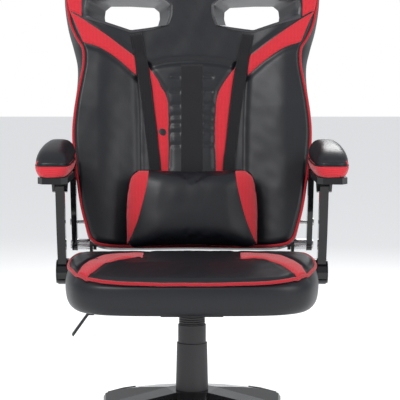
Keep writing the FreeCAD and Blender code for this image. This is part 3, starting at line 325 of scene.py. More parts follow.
def grain_group():
    """Leather grain: small cells, wider creases and a slow change of polish."""
    tree, into, out = new_group("Leather grain", [
        ("Vector", "NodeSocketVector", None), ("Cells", "NodeSocketFloat", 620.0),
        ("Creases", "NodeSocketFloat", 34.0)],
        [("Height", "NodeSocketFloat"), ("Polish", "NodeSocketFloat")])
    vector = into.outputs["Vector"]
    cells = node(tree, "ShaderNodeTexVoronoi", {"Vector": vector, "Scale": into.outputs["Cells"]},
                 feature="SMOOTH_F1").outputs["Distance"]
    crease = node(tree, "ShaderNodeTexNoise", {"Vector": vector, "Scale": into.outputs["Creases"],
        "Detail": 5.0,
                                               "Distortion": 0.7}).outputs["Fac"]
    slow = node(tree, "ShaderNodeTexNoise", {"Vector": vector, "Scale": 9.0, "Detail": 2.0}).outputs["Fac"]
    height = math_node(tree, "MULTIPLY_ADD", cells, 0.35, math_node(tree, "MULTIPLY", crease, 0.9))
    tree.links.new(height, out.inputs["Height"])
    tree.links.new(math_node(tree, "MULTIPLY_ADD", slow, 0.5, math_node(tree, "MULTIPLY", cells, 0.5)),
                   out.inputs["Polish"])
    return tree


def weave_group():
    """Open weave: crossed threads as sine waves on two slanted axes, with dark pores between."""
    tree, into, out = new_group("Open weave", [
        ("Vector", "NodeSocketVector", None), ("Pitch", "NodeSocketFloat", 0.0030),
        ("Slant", "NodeSocketFloat", 1.0)],
        [("Height", "NodeSocketFloat"), ("Pores", "NodeSocketFloat")])
    split = node(tree, "ShaderNodeSeparateXYZ", {0: into.outputs["Vector"]})
    turns = math_node(tree, "DIVIDE", 2 * math.pi, into.outputs["Pitch"])
    depth = math_node(tree, "MULTIPLY", split.outputs["Y"], 0.8)
    up = math_node(tree, "ADD", split.outputs["Z"], depth)
    lean = math_node(tree, "MULTIPLY", split.outputs["X"], into.outputs["Slant"])
    first = math_node(tree, "SINE", math_node(tree, "MULTIPLY", math_node(tree, "ADD", up, lean), turns))
    second = math_node(tree, "SINE", math_node(tree, "MULTIPLY", math_node(tree, "SUBTRACT", up, lean),
        turns))
    product = math_node(tree, "MULTIPLY", first, second)
    tree.links.new(math_node(tree, "ABSOLUTE", product), out.inputs["Height"])
    pores = node(tree, "ShaderNodeMapRange", {"Value": product, "From Min": 0.25,
        "From Max": 0.85}).outputs["Result"]
    tree.links.new(pores, out.inputs["Pores"])
    return tree


def mould_group():
    """Moulded surface: fine spark-eroded grain and faint handling marks."""
    tree, into, out = new_group("Moulded grain", [
        ("Vector", "NodeSocketVector", None), ("Grain", "NodeSocketFloat", 900.0)],
        [("Height", "NodeSocketFloat"), ("Marks", "NodeSocketFloat")])
    vector = into.outputs["Vector"]
    fine = node(tree, "ShaderNodeTexNoise", {"Vector": vector, "Scale": into.outputs["Grain"], "Detail": 3.0})
    marks = node(tree, "ShaderNodeTexNoise", {"Vector": vector, "Scale": 14.0, "Detail": 6.0,
        "Roughness": 0.7})
    tree.links.new(fine.outputs["Fac"], out.inputs["Height"])
    tree.links.new(marks.outputs["Fac"], out.inputs["Marks"])
    return tree


# ------------------------------------------------------------------ materials
MATERIALS = {}


def start_material(name):
    material = bpy.data.materials.new(name)
    material.use_nodes = True
    tree = material.node_tree
    shader = tree.nodes["Principled BSDF"]
    place = tree.nodes.new("ShaderNodeTexCoord").outputs["Object"]
    MATERIALS[name] = material
    return tree, shader, place


def use_group(tree, name, vector, **numbers):
    made = tree.nodes.new("ShaderNodeGroup")
    made.node_tree = bpy.data.node_groups[name]
    tree.links.new(vector, made.inputs["Vector"])
    for label, number in numbers.items():
        made.inputs[label].default_value = number
    return made


def bump(tree, shader, height, strength, distance):
    made = node(tree, "ShaderNodeBump", {"Height": height, "Strength": strength, "Distance": distance})
    tree.links.new(made.outputs["Normal"], shader.inputs["Normal"])


def spread(tree, source, low, high):
    """Map a 0-1 value to a range."""
    return node(tree, "ShaderNodeMapRange", {"Value": source, "From Min": 0.25, "From Max": 0.75,
                                             "To Min": low, "To Max": high}).outputs["Result"]


def mixed(tree, factor, first, second):
    """Colour between two colours by a factor."""
    made = tree.nodes.new("ShaderNodeMix")
    made.data_type = "RGBA"
    tree.links.new(factor, made.inputs["Factor"])
    made.inputs["A"].default_value = (*first, 1)
    made.inputs["B"].default_value = (*second, 1)
    return made.outputs["Result"]


def shade(colour, amount):
    return tuple(min(1.0, part * amount) for part in colour)


def leather_material(name, colour, cells=620.0):
    tree, shader, place = start_material(name)
    grain = use_group(tree, "Leather grain", place, Cells=cells)
    tree.links.new(mixed(tree, grain.outputs["Polish"], shade(colour, 0.8), shade(colour, 1.25)),
                   shader.inputs["Base Color"])
    tree.links.new(spread(tree, grain.outputs["Polish"], 0.34, 0.46), shader.inputs["Roughness"])
    shader.inputs["Specular IOR Level"].default_value = 0.42
    bump(tree, shader, grain.outputs["Height"], 0.18, 0.0006)


def weave_material(name, colour, pitch, pore=0.22, slant=1.0):
    tree, shader, place = start_material(name)
    weave = use_group(tree, "Open weave", place, Pitch=pitch, Slant=slant)
    tree.links.new(mixed(tree, weave.outputs["Pores"], colour, shade(colour, pore)),
        shader.inputs["Base Color"])
    shader.inputs["Roughness"].default_value = 0.85
    shader.inputs["Specular IOR Level"].default_value = 0.25
    shader.inputs["Sheen Weight"].default_value = 0.25
    bump(tree, shader, weave.outputs["Height"], 0.5, 0.0008)


def moulded_material(name, colour, low, high, grain=900.0, strength=0.1, metal=0.0):
    """Plastic or metal with a fine grain; low and high are the limits of its roughness."""
    tree, shader, place = start_material(name)
    mould = use_group(tree, "Moulded grain", place, Grain=grain)
    tree.links.new(mixed(tree, mould.outputs["Marks"], shade(colour, 0.85), shade(colour, 1.2)),
                   shader.inputs["Base Color"])
    tree.links.new(spread(tree, mould.outputs["Marks"], low, high), shader.inputs["Roughness"])
    shader.inputs["Metallic"].default_value = metal
    bump(tree, shader, mould.outputs["Height"], strength, 0.0005)


def make_materials():
    """Every finish of the chair, from the three shared groups."""
    look = bpy.context.scene.chair_upholstery
    hard = bpy.context.scene.chair_hardware
    grain_group()
    weave_group()
    mould_group()
    leather_material("leather", tuple(look.leather))
    weave_material("red_mesh", tuple(look.red), 0.0062, 0.45)
    weave_material("red_piping", tuple(look.piping), 0.0016, 0.5)
    weave_material("black_mesh", (0.016, 0.016, 0.019), 0.0036, 0.35)
    weave_material("webbing", (0.010, 0.010, 0.012), 0.0018, 0.5, 0.15)
    moulded_material("gloss_black", tuple(hard.gloss), 0.05, 0.10, strength=0.01)
    moulded_material("gloss_nylon", (0.007, 0.007, 0.008), 0.12, 0.24, strength=0.04)
    moulded_material("nylon", (0.016, 0.016, 0.017), 0.38, 0.52)
    moulded_material("matte_cover", tuple(hard.cover), 0.5, 0.62, strength=0.12)
    moulded_material("textured_grip", (0.055, 0.055, 0.058), 0.6, 0.8, grain=420.0, strength=0.9)
    moulded_material("bezel_grey", tuple(hard.bezel), 0.28, 0.38, strength=0.05)
    moulded_material("black_steel", (0.012, 0.012, 0.013), 0.35, 0.5)
    moulded_material("steel", (0.55, 0.55, 0.56), 0.18, 0.34, metal=1.0, strength=0.03)
    moulded_material("chrome", (0.75, 0.75, 0.76), 0.04, 0.1, metal=1.0, strength=0.01)


def dress_cad_nodes():
    """Give every CAD node the finish that the record's slot names."""
    for part in frame["record"]["subparts"]:
        piece = frame["nodes"][part["node"]]
        piece.data.materials.clear()
        piece.data.materials.append(MATERIALS[part["material_slot"]])


def soften_hard_nodes():
    """Round the sharp edges of the visible moulded and metal nodes by a small bevel."""
    widths = {"front_strut": 0.0022, "rear_strut": 0.0022, "arm_shell": 0.0020, "hub_cap": 0.0012,
        "arm_hub": 0.0012,
              "base_star": 0.0030, "lever_paddle": 0.0012, "recline_bracket": 0.0008, "lower_cover": 0.0005}
    for start, width in widths.items():
        for name, piece in frame["nodes"].items():
            if name.startswith(start):
                edge = piece.modifiers.new("edge", "BEVEL")
                edge.width, edge.segments, edge.limit_method = width, 2, "ANGLE"
                edge.angle_limit = math.radians(40)


# ------------------------------------------------------------------ backrest
BACK_SIDE = both_sides([
    (0, -0.012), (0.110, -0.013), (0.190, -0.012), (0.224, 0.004), (0.237, 0.040), (0.246, 0.090),
    (0.257, 0.178),
    (0.267, 0.240), (0.265, 0.290), (0.257, 0.350), (0.256, 0.396), (0.264, 0.434), (0.277, 0.480),
    (0.285, 0.530),
    (0.286, 0.570), (0.279, 0.610), (0.248, 0.665), (0.204, 0.712), (0.178, 0.750), (0.150, 0.782),
    (0.108, 0.796),
    (0, 0.799)])
BACK_PIPED = both_sides([
    (0, -0.008), (0.110, -0.009), (0.186, -0.008), (0.217, 0.004), (0.231, 0.040), (0.243, 0.090),
    (0.255, 0.178),
    (0.260, 0.240), (0.254, 0.305), (0.245, 0.358), (0.239, 0.396), (0.241, 0.430), (0.256, 0.456),
    (0.270, 0.490),
    (0.277, 0.530), (0.278, 0.570), (0.270, 0.606), (0.240, 0.659), (0.197, 0.706), (0.171, 0.743),
    (0.144, 0.775),
    (0.104, 0.789), (0, 0.792)])
BACK_CENTRE = (0.0, 0.390)
FRONT_FACE = 0.050
MESH_INSERT_OUTER = [(0.070, 0.165), (0.0765, 0.215), (0.082, 0.275), (0.0885, 0.330), (0.098, 0.396)]
MESH_INSERT_INNER = [(0.051, 0.165), (0.0495, 0.215), (0.0500, 0.275), (0.0580, 0.335), (0.098, 0.396)]
CENTRE_SEAM = [(0.0, 0.403), (0.030, 0.402), (0.060, 0.399), (0.098, 0.390)]
SIDE_SEAM = [(0.112, -0.005), (0.113, 0.165), (0.115, 0.270), (0.120, 0.367)]
BAND_LOW = [(0.2415, 0.442), (0.200, 0.427), (0.160, 0.400), (0.121, 0.367)]
BAND_HIGH = [(0.2720, 0.515), (0.236, 0.494), (0.180, 0.455), (0.126, 0.415)]
WING_OUTER = [(0.2720, 0.515), (0.277, 0.545), (0.2775, 0.575), (0.262, 0.617), (0.232, 0.664)]
WING_INNER = [(0.2430, 0.499), (0.243, 0.545), (0.240, 0.575), (0.220, 0.606), (0.198, 0.640)]
CROWN_SEAM = [(0.0, 0.640), (0.060, 0.644), (0.120, 0.652), (0.186, 0.672), (0.205, 0.694)]


def back_front(x, w):
    """Depth of the backrest's front face, negative towards the sitter.

    A flat middle, sides that rise as a smooth step towards the bolsters, a hollow
    for the shoulders, swells for the lumbar and the head, and sunk seams.
    """
    look = bpy.context.scene.chair_upholstery
    ax = np.abs(x)
    rise = np.clip((ax - 0.100) / 0.110, 0, 1)
    rise = rise * rise * (3 - 2 * rise)
    low_part = 1 - np.clip((w - 0.30) / 0.22, 0, 1) * 0.55
    bolster = look.bolster * rise * low_part
    lumbar = 0.010 * np.exp(-((w - 0.10) / 0.10) ** 2) * np.clip(1 - ax / 0.16, 0, 1)
    head = 0.016 * np.exp(-((w - 0.690) / 0.070) ** 2) * np.clip(1 - (ax / 0.19) ** 2, 0, 1)
    rumple = 0.0007 * noise2(x, w, 5, 0.120) + 0.0002 * noise2(x, w, 8, 0.045)
    depth = -FRONT_FACE - bolster - lumbar - head - rumple
    for seam, deep, wide in ((MESH_INSERT_INNER, 0.0030, 0.006), (MESH_INSERT_OUTER, 0.0025, 0.006),
                             (CENTRE_SEAM, 0.0045, 0.008), (SIDE_SEAM, 0.0050, 0.009),
                             (BAND_LOW, 0.0035, 0.007),
                             (BAND_HIGH, 0.0035, 0.007), (CROWN_SEAM, 0.0045, 0.009)):
        gap = distance_to(seam, ax, w)
        depth = depth + deep * np.exp(-(gap / wide) ** 2)
    inside = np.clip((0.050 - ax) / 0.006, 0, 1) * np.clip((ax - 0.022) / 0.004, 0, 1)
    for level in (0.215, 0.243, 0.263, 0.281, 0.305, 0.335, 0.368):
        depth = depth + 0.0022 * inside * np.exp(-((w - level) / 0.0045) ** 2)
    return depth


def back_ring(outline, angles, scale, depth):
    """Closed ring of the back: an outline shrunk about the middle, at a depth from a function or a number."""
    flat = (polar(outline, angles, BACK_CENTRE) - BACK_CENTRE) * scale + BACK_CENTRE
    v = depth(flat[:, 0], flat[:, 1]) if callable(depth) else np.full(len(flat), float(depth))
    return on_back(flat[:, 0], v, flat[:, 1])


def back_angles(count):
    """Directions round the back, closer together at its top and bottom corners."""
    outline = spline(BACK_SIDE, count, closed=True) - BACK_CENTRE
    return np.sort(np.unwrap(np.arctan2(outline[:, 1], outline[:, 0])) % (2 * math.pi))


def make_back_cushion():
    angles = back_angles(400)
    front = [back_ring(BACK_PIPED, angles, s, back_front) for s in np.linspace(0.004, 0.965, 110)]
    rounding = [(0.980, 0.0020), (0.992, 0.0065), (1.0, 0.0140)]
    for scale, back_off in rounding:
        front.append(back_ring(BACK_PIPED, angles, scale, lambda x, w, b=back_off: back_front(x, w) + b))
    side = np.stack([front[-1], (front[-1] * 0.45 + back_ring(BACK_SIDE, angles, 1.0, -0.020) * 0.55),
                     back_ring(BACK_SIDE, angles, 1.0, -0.008), back_ring(BACK_SIDE, angles, 0.996, 0.012),
                     back_ring(BACK_SIDE, angles, 0.985, 0.0205), back_ring(BACK_SIDE, angles, 0.93, 0.0207)])
    skin = rings_to_skin(side, 5)
    shell = np.concatenate([np.array(front), skin[1:], back_ring(BACK_SIDE, angles, 0.004, 0.0207)[None]])
    piece = Shape().grid(shell, wrap_columns=True, caps=True).build(
        "back_upholstery", MATERIALS["leather"], "backrest", "leather", ["back_cushion"])
    cut_prisms(piece, [hole_prism("left", 0.0005), hole_prism("right", 0.0005)])


def hole_corners(side, grow=0.0):
    """Outline of a head slot seen from the front: a low point and rounded corners."""
    half = [(0.054 - grow, 0.483), (0.092, 0.4745 - grow), (0.136, 0.468 - grow), (0.188, 0.484 - grow),
            (0.238 + grow, 0.500 - grow), (0.240 + grow, 0.520), (0.236 + grow, 0.540), (0.219, 0.551 + grow),
            (0.140, 0.549 + grow), (0.062, 0.545 + grow), (0.045 - grow, 0.531), (0.046 - grow, 0.505)]
    return [(SIDES[side] * x, w) for x, w in half]


def throat_corners(side):
    """Outline of a slot's rear opening, point for point with its front one."""
    half = [(0.077, 0.499), (0.108, 0.491), (0.138, 0.486), (0.168, 0.494), (0.196, 0.504), (0.198, 0.518),
            (0.196, 0.533), (0.184, 0.543), (0.140, 0.543), (0.086, 0.540), (0.074, 0.530), (0.073, 0.514)]
    return [(SIDES[side] * x, w) for x, w in half]


def smooth_corners(points, count=96):
    """Closed outline that rounds each corner only a little."""
    p = np.asarray(points, float)
    before, after = np.roll(p, 1, 0), np.roll(p, -1, 0)
    near = np.stack([p + (before - p) * 0.22, p * 0.98 + (before + after) * 0.01, p + (after - p) * 0.22],
        axis=1)
    return spline(near.reshape(-1, 2), count, closed=True)


def hole_prism(side, grow):
    """Closed cutter through the back along a head slot."""
    flat = smooth_corners(hole_corners(side, grow))
    rows = np.stack([on_back(flat[:, 0], v, flat[:, 1]) for v in (-0.16, 0.08)])
    mesh = bpy.data.meshes.new("cutter")
    points = rows.reshape(-1, 3)
    faces = grid_faces(2, len(flat), wrap_columns=True).tolist()
    faces += [list(range(len(flat))), list(range(len(flat), 2 * len(flat)))]
    mesh.from_pydata(points.tolist(), [], faces)
    tidy_mesh(mesh)
    cutter = bpy.data.objects.new("cutter", mesh)
    bpy.context.scene.collection.objects.link(cutter)
    return cutter


def make_bezels():
    """Funnels that line the head slots: a thin lip on the face, sloping walls and a rear rim."""
    for side in SIDES:
        outer = smooth_corners(hole_corners(side, 0.0025))
        mouth = smooth_corners(hole_corners(side, -0.0005))
        inner = smooth_corners(hole_corners(side, -0.0035))
        throat = smooth_corners(throat_corners(side))
        wall = smooth_corners(hole_corners(side, -0.0003))
        face = lambda flat, lift: back_front(flat[:, 0], flat[:, 1]) + lift
        rows = [on_back(wall[:, 0], 0.0285, wall[:, 1]), on_back(wall[:, 0], 0.0, wall[:, 1]),
                on_back(wall[:, 0], face(wall, 0.006), wall[:, 1]),
                on_back(outer[:, 0], face(outer, 0.0015), outer[:, 1]),
                on_back(outer[:, 0], face(outer, -0.0012), outer[:, 1]),
                on_back(mouth[:, 0], face(mouth, -0.0026), mouth[:, 1]),
                on_back(inner[:, 0], face(inner, -0.0012), inner[:, 1])]
        start = face(inner, 0.001)
        for t in np.linspace(0, 1, 7):
            flat = inner * (1 - t) + throat * t
            rows.append(on_back(flat[:, 0], start * (1 - t) + 0.0285 * t, flat[:, 1]))
        rows.append(rows[0])
        Shape().grid(np.array(rows), wrap_columns=True).build(
            "slot_bezel_" + side, MATERIALS["bezel_grey"], "backrest", "bezel_grey",
            ["hole_bezel_" + side], 40)


def panel(surface, first, second, along=60, across=24, lift=0.0012, edge=0.0035, sink=0.0022):
    """Sewn panel between two seams: a patch of the surface, puffed in the middle and tucked in at its edges.

    surface(x, w) gives points; the lift falls from its full height to -sink
    over a distance of edge from every side.
    """
    a, b = spline(first, along), spline(second, along)
    t = np.linspace(0, 1, across)[None, :, None]
    flat = a[:, None] * (1 - t) + b[:, None] * t
    border = np.concatenate([a, b[::-1], a[:1]])
    gap = distance_to(border, flat[..., 0], flat[..., 1])
    near = np.clip(gap / edge, 0, 1)
    return surface(flat[..., 0], flat[..., 1], lift * near * (2 - near) - sink * (1 - near) ** 2)


def back_surface(side):
    """The back's face on one side, raised by a height."""
    def place(x, w, lift):
        return on_back(SIDES[side] * x, back_front(x, w) - lift, w)
    return place


def thick_patch(p, thick, direction):
    """Close a patch into a thin sheet by adding its underside."""
    under = p + thick * np.asarray(direction)
    rim = np.concatenate([p[0], p[1:, -1], p[-1, -2::-1], p[-2:0:-1, 0]])
    rim_under = rim + thick * np.asarray(direction)
    shape = Shape().grid(p).grid(under)
    return shape.grid(np.stack([rim, rim_under]), wrap_columns=True)


def make_back_panels():
    """Red mesh leaf beside the spine, red mesh band under the slot and up the wing, black mesh strip."""
    for side in SIDES:
        surface = back_surface(side)
        low_inner = [(0.052, 0.0)] + MESH_INSERT_INNER
        low_outer = [(0.064, 0.0)] + MESH_INSERT_OUTER
        leaf = panel(surface, low_outer, low_inner, along=90)
        thick_patch(leaf, 0.004, BACK_REARWARD).build("mesh_leaf_" + side, MATERIALS["red_mesh"],
            "backrest", "red_mesh")
        band = panel(surface, BAND_LOW, BAND_HIGH, along=70)
        thick_patch(band, 0.004, BACK_REARWARD).build("mesh_band_" + side, MATERIALS["red_mesh"],
            "backrest", "red_mesh")
        wing = panel(surface, WING_OUTER, WING_INNER, along=60, across=20)
        thick_patch(wing, 0.004, BACK_REARWARD).build("mesh_wing_" + side, MATERIALS["red_mesh"],
            "backrest", "red_mesh")
    strip = panel(lambda x, w, lift: on_back(x, back_front(x, w) - lift, w),
                  [(-0.0255, 0.0), (-0.0255, 0.20), (-0.0255, 0.398)],
                  [(0.0255, 0.0), (0.0255, 0.20), (0.0255, 0.398)],
                  along=90, across=26)
    thick_patch(strip, 0.004, BACK_REARWARD).build("spine_mesh", MATERIALS["black_mesh"], "backrest",
        "black_mesh")


def make_back_piping():
    angles = back_angles(520)
    loop = back_ring(BACK_PIPED, angles, 0.998, lambda x, w: back_front(x, w) + 0.0085)
    radius = bpy.context.scene.chair_upholstery.piping_radius
    Shape().grid(tube(loop, radius, up=-BACK_REARWARD), wrap_rows=True, wrap_columns=True).build(
        "back_piping", MATERIALS["red_piping"], "backrest", "red_piping")


def make_rear_panel():
    """Upholstered rear cover: gently domed, with a seam across the shoulders."""
    angles = back_angles(320)
    dome = lambda x, w: (0.0285 - 0.004 * np.exp(-(distance_to([(-0.26, 0.42), (0.26, 0.42)], x,
        w) / 0.007) ** 2)
                         - 0.006 * (np.abs(x) / 0.29) ** 4)
    rings = [back_ring(BACK_SIDE, angles, s, 0.0212) for s in (0.004, 0.5, 0.955, 0.972)]
    rings += [back_ring(BACK_SIDE, angles, 0.978, lambda x, w: dome(x, w) - 0.004)]
    rings += [back_ring(BACK_SIDE, angles, s, dome) for s in np.linspace(0.968, 0.004, 60)]
    piece = Shape().grid(np.array(rings), wrap_columns=True, caps=True).build(
        "rear_upholstery", MATERIALS["leather"], "backrest", "leather", ["back_cover"])
    cut_prisms(piece, [hole_prism("left", 0.0005), hole_prism("right", 0.0005)])


# ------------------------------------------------------------------ seat
SEAT_SIDE = both_sides([
    (0, -0.258), (0.080, -0.258), (0.140, -0.255), (0.190, -0.243), (0.226, -0.214), (0.245, -0.165),
    (0.254, -0.100),
    (0.2565, -0.030), (0.2555, 0.040), (0.250, 0.100), (0.239, 0.155), (0.222, 0.190), (0.190, 0.209),
    (0.100, 0.213),
    (0, 0.214)])
SEAT_PIPED = both_sides([
    (0, -0.252), (0.080, -0.251), (0.140, -0.247), (0.186, -0.235), (0.219, -0.206), (0.238, -0.160),
    (0.247, -0.100),
    (0.2505, -0.030), (0.2495, 0.040), (0.244, 0.100), (0.233, 0.152), (0.216, 0.184), (0.186, 0.201),
    (0.100, 0.205),
    (0, 0.206)])
SEAT_CENTRE = (0.0, -0.020)
SEAT_BAND_BACK = [(0.097, -0.022), (0.137, -0.026), (0.166, -0.032), (0.189, -0.046), (0.208, -0.105),
    (0.224, -0.196)]
SEAT_BAND_FRONT = [(0.096, -0.105), (0.133, -0.098), (0.159, -0.137), (0.177, -0.168), (0.190, -0.196),
    (0.203, -0.222)]
SEAT_MIDDLE_SEAM = [(0.092, 0.190), (0.092, 0.060), (0.095, -0.024)]


def seat_rim(y):
    """Height of the piping along the seat: high behind the front nose, lower at the front and rear."""
    return np.interp(y, [-0.262, -0.235, -0.16, 0.0, 0.12, 0.214],
        [0.4085, 0.4125, 0.424, 0.4285, 0.4255, 0.4205])


def seat_top(x, y):
    """Height of the seat's top: the rim, raised to a crown that rolls off at the front."""
    look = bpy.context.scene.chair_upholstery
    reach = np.clip(1 - (np.abs(x) / 0.252) ** 4, 0, 1) * np.clip(1 - (np.abs(y + 0.022) / 0.236) ** 6, 0, 1)
    rearward = np.interp(y, [-0.26, -0.15, 0.0, 0.10, 0.21], [0.8, 1.0, 0.85, 0.35, -0.1])
    crown = look.seat_crown * np.sqrt(np.clip(reach, 0, 1)) * rearward
    ax = np.abs(x)
    height = seat_rim(y) + crown + 0.0006 * noise2(x, y, 3, 0.11) + 0.0002 * noise2(x, y, 4, 0.045)
    for seam, deep, wide in ((SEAT_BAND_BACK, 0.0030, 0.006), (SEAT_BAND_FRONT, 0.0030, 0.006),
                             (SEAT_MIDDLE_SEAM, 0.0035, 0.008)):
        height = height - deep * np.exp(-(distance_to(seam, ax, y) / wide) ** 2)
    return height


def seat_ring(outline, angles, scale, height):
    flat = (polar(outline, angles, SEAT_CENTRE) - SEAT_CENTRE) * scale + SEAT_CENTRE
    z = height(flat[:, 0], flat[:, 1]) if callable(height) else np.full(len(flat), float(height))
    return np.stack([flat[:, 0], flat[:, 1], z], axis=1)


def make_seat_cushion():
    angles = np.linspace(0, 2 * math.pi, 360, endpoint=False)
    top = [seat_ring(SEAT_PIPED, angles, s, seat_top) for s in np.linspace(0.004, 0.955, 90)]
    for scale, down in ((0.975, 0.0015), (0.990, 0.0045), (1.0, 0.0090)):
        top.append(seat_ring(SEAT_PIPED, angles, scale, lambda x, y, d=down: seat_top(x, y) - d))
    floor_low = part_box("seat_cushion")[0].z
    rumple = lambda x, y: 0.385 + 0.0015 * noise2(x, y, 12, 0.07)
    side = np.stack([
        top[-1], seat_ring(SEAT_SIDE, angles, 0.996, 0.404), seat_ring(SEAT_SIDE, angles, 1.002, rumple),
        seat_ring(SEAT_SIDE, angles, 0.990, 0.364), seat_ring(SEAT_SIDE, angles, 0.955, floor_low + 0.0040),
        seat_ring(SEAT_SIDE, angles, 0.900, floor_low + 0.0006),
        seat_ring(SEAT_SIDE, angles, 0.870, floor_low + 0.006)])
    skin = rings_to_skin(side, 6)
    under = [seat_ring(SEAT_SIDE, angles, 0.862, 0.372), seat_ring(SEAT_SIDE, angles, 0.85, 0.4075),
             seat_ring(SEAT_SIDE, angles, 0.5, 0.4077), seat_ring(SEAT_SIDE, angles, 0.004, 0.4077)]
    piece = Shape().grid(np.concatenate([np.array(top), skin[1:], np.array(under)]), wrap_columns=True,
        caps=True).build(
        "seat_upholstery", MATERIALS["leather"], "seat", "leather", ["seat_cushion"])


def make_seat_panels():
    for side in SIDES:
        surface = lambda x, y, lift, s=SIDES[side]: np.stack(
            np.broadcast_arrays(s * x, y, seat_top(x, y) + lift), axis=-1)
        band = panel(surface, SEAT_BAND_BACK, SEAT_BAND_FRONT, along=80, across=30)
        thick_patch(band, 0.004, (0, 0, -1)).build("seat_mesh_" + side, MATERIALS["red_mesh"], "seat",
            "red_mesh")
    angles = np.linspace(0, 2 * math.pi, 480, endpoint=False)
    loop = seat_ring(SEAT_PIPED, angles, 1.002, lambda x, y: seat_top(x, y) - 0.0045)
    radius = bpy.context.scene.chair_upholstery.piping_radius
    Shape().grid(tube(loop, radius), wrap_rows=True, wrap_columns=True).build(
        "seat_piping", MATERIALS["red_piping"], "seat", "red_piping")


# ------------------------------------------------------------------ straps and pillow
STRAP_LINE = [(0.126, 0.474), (0.1085, 0.380), (0.0935, 0.270), (0.0790, 0.150), (0.060, 0.012),
    (0.058, -0.002)]


def make_straps():
    """Webbing from each head slot down the face, in under the pillow, to the foot of the back."""
    look = bpy.context.scene.chair_upholstery
    for side, sign in SIDES.items():
        line = spline(STRAP_LINE, 90)
        slope = np.gradient(line, axis=0)
        slope /= np.linalg.norm(slope, axis=1)[:, None]
        across = np.stack([-slope[:, 1], slope[:, 0]], axis=1)
        offset = np.linspace(-0.5, 0.5, 9)[None, :, None] * look.strap_width
        flat = line[:, None] + across[:, None] * offset
        rest = back_front(sign * flat[..., 0], flat[..., 1]).min(axis=1, keepdims=True) - 0.0006
        ease = np.clip((flat[:, :1, 1] - 0.462) / 0.012, 0, 1)
        rest = rest + 0.020 * ease ** 2
        top = on_back(sign * flat[..., 0], rest - 0.0013, flat[..., 1])
        sheet = thick_patch(top, 0.0016, BACK_REARWARD)
        edges = [on_back(sign * flat[:, k, 0], rest[:, 0] - 0.0013, flat[:, k, 1]) for k in (0, -1)]
        for edge in edges:
            sheet.grid(tube(edge, 0.0009, closed=False, up=-BACK_REARWARD, sides=6), wrap_columns=True,
                caps=True)
        sheet.build("strap_web_" + side, MATERIALS["webbing"], "backrest", "webbing", ["strap_" + side])


PILLOW_CENTRE = (0.0, 0.072)
PILLOW_SIDE = both_sides([
    (0, -0.014), (0.060, -0.015), (0.118, -0.016), (0.138, -0.010), (0.145, 0.010), (0.1455, 0.050),
    (0.143, 0.095),
    (0.138, 0.134), (0.124, 0.153), (0.090, 0.158), (0.045, 0.157), (0, 0.156)])
PILLOW_SEAM = [(0.091, 0.158), (0.095, 0.120), (0.104, 0.080), (0.117, 0.036), (0.136, -0.006),
    (0.143, -0.014)]


def pillow_depth(x, w, scale):
    """Half thickness of the pillow: full in the middle, falling as a superellipse to its rim."""
    return 0.040 * (1 - scale ** 3.2) ** 0.55 + 0.0006 * noise2(x, w, 21, 0.06) * (1 - scale)


def pillow_start():
    """Closed pillow before it is filled: two domed faces that meet at the rim seam."""
    angles = np.linspace(0, 2 * math.pi, 300, endpoint=False)
    rings = []
    for face, scales in ((-1, np.linspace(0.004, 1.0, 46)), (1, np.linspace(1.0, 0.004, 46)[1:])):
        for scale in scales:
            flat = (polar(PILLOW_SIDE, angles, PILLOW_CENTRE) - PILLOW_CENTRE) * scale + PILLOW_CENTRE
            depth = face * pillow_depth(flat[:, 0], flat[:, 1], scale)
            rings.append(on_back(flat[:, 0], -0.0985 + depth, flat[:, 1]))
    return np.array(rings)


def cap_movement(mesh, start, limit):
    """Hold each point within a distance of where it started."""
    now = np.empty(len(mesh.vertices) * 3)
    mesh.vertices.foreach_get("co", now)
    move = now.reshape(-1, 3) - start
    far = np.linalg.norm(move, axis=1, keepdims=True)
    move *= np.minimum(1.0, limit / np.maximum(far, 1e-9))
    mesh.vertices.foreach_set("co", (start + move).ravel())
    mesh.update()


def coordinates(mesh):
    flat = np.empty(len(mesh.vertices) * 3)
    mesh.vertices.foreach_get("co", flat)
    return flat.reshape(-1, 3)


def fill_with_air(piece, pressure, limit, cell):
    bpy.context.view_layer.objects.active = piece
    remesh = piece.modifiers.new("even", "REMESH")
    remesh.mode = "VOXEL"
    remesh.voxel_size = cell
    bpy.ops.object.modifier_apply(modifier="even")
    start = coordinates(piece.data)
    cloth = piece.modifiers.new("fill", "CLOTH")
    setting = cloth.settings
    setting.quality = 5
    setting.use_pressure = True
    setting.uniform_pressure_force = pressure
    setting.effector_weights.gravity = 0
    setting.tension_stiffness = 18
    setting.compression_stiffness = 9
    setting.bending_stiffness = 0.6
    cloth.point_cache.frame_start, cloth.point_cache.frame_end = 1, 20
    scene = bpy.context.scene
    for step in range(1, 21):
        scene.frame_set(step)
    bpy.ops.object.modifier_apply(modifier="fill")
    scene.frame_set(1)
    cap_movement(piece.data, start, limit)
    soften = piece.modifiers.new("soften", "SUBSURF")
    soften.levels = soften.render_levels = 1
    bpy.ops.object.modifier_apply(modifier="soften")
    piece.data.shade_smooth()


def make_pillow():
    look = bpy.context.scene.chair_upholstery
    piece = Shape().grid(pillow_start(), wrap_columns=True, caps=True).build(
        "pillow_upholstery", MATERIALS["leather"], "pillow", "leather", ["lumbar_pillow"], weld=1e-5)
    fill_with_air(piece, 4.0, look.swell, 0.005)


def drape(target, flat, lift):
    """Lay a grid of (x, w) points on the front of an object's mesh, raised by a height."""
    start = on_back(flat[..., 0], -0.30, flat[..., 1]).reshape(-1, 3)
    rim = on_back(flat[..., 0], -0.0985, flat[..., 1]).reshape(-1, 3)
    hits = [target.ray_cast(point.tolist(), BACK_REARWARD.tolist()) for point in start]
    found = np.array([hit[0] for hit in hits])[:, None]
    touch = np.where(found, np.array([tuple(hit[1]) for hit in hits]), rim)
    return touch.reshape(flat.shape[:2] + (3,)) - lift[..., None] * BACK_REARWARD


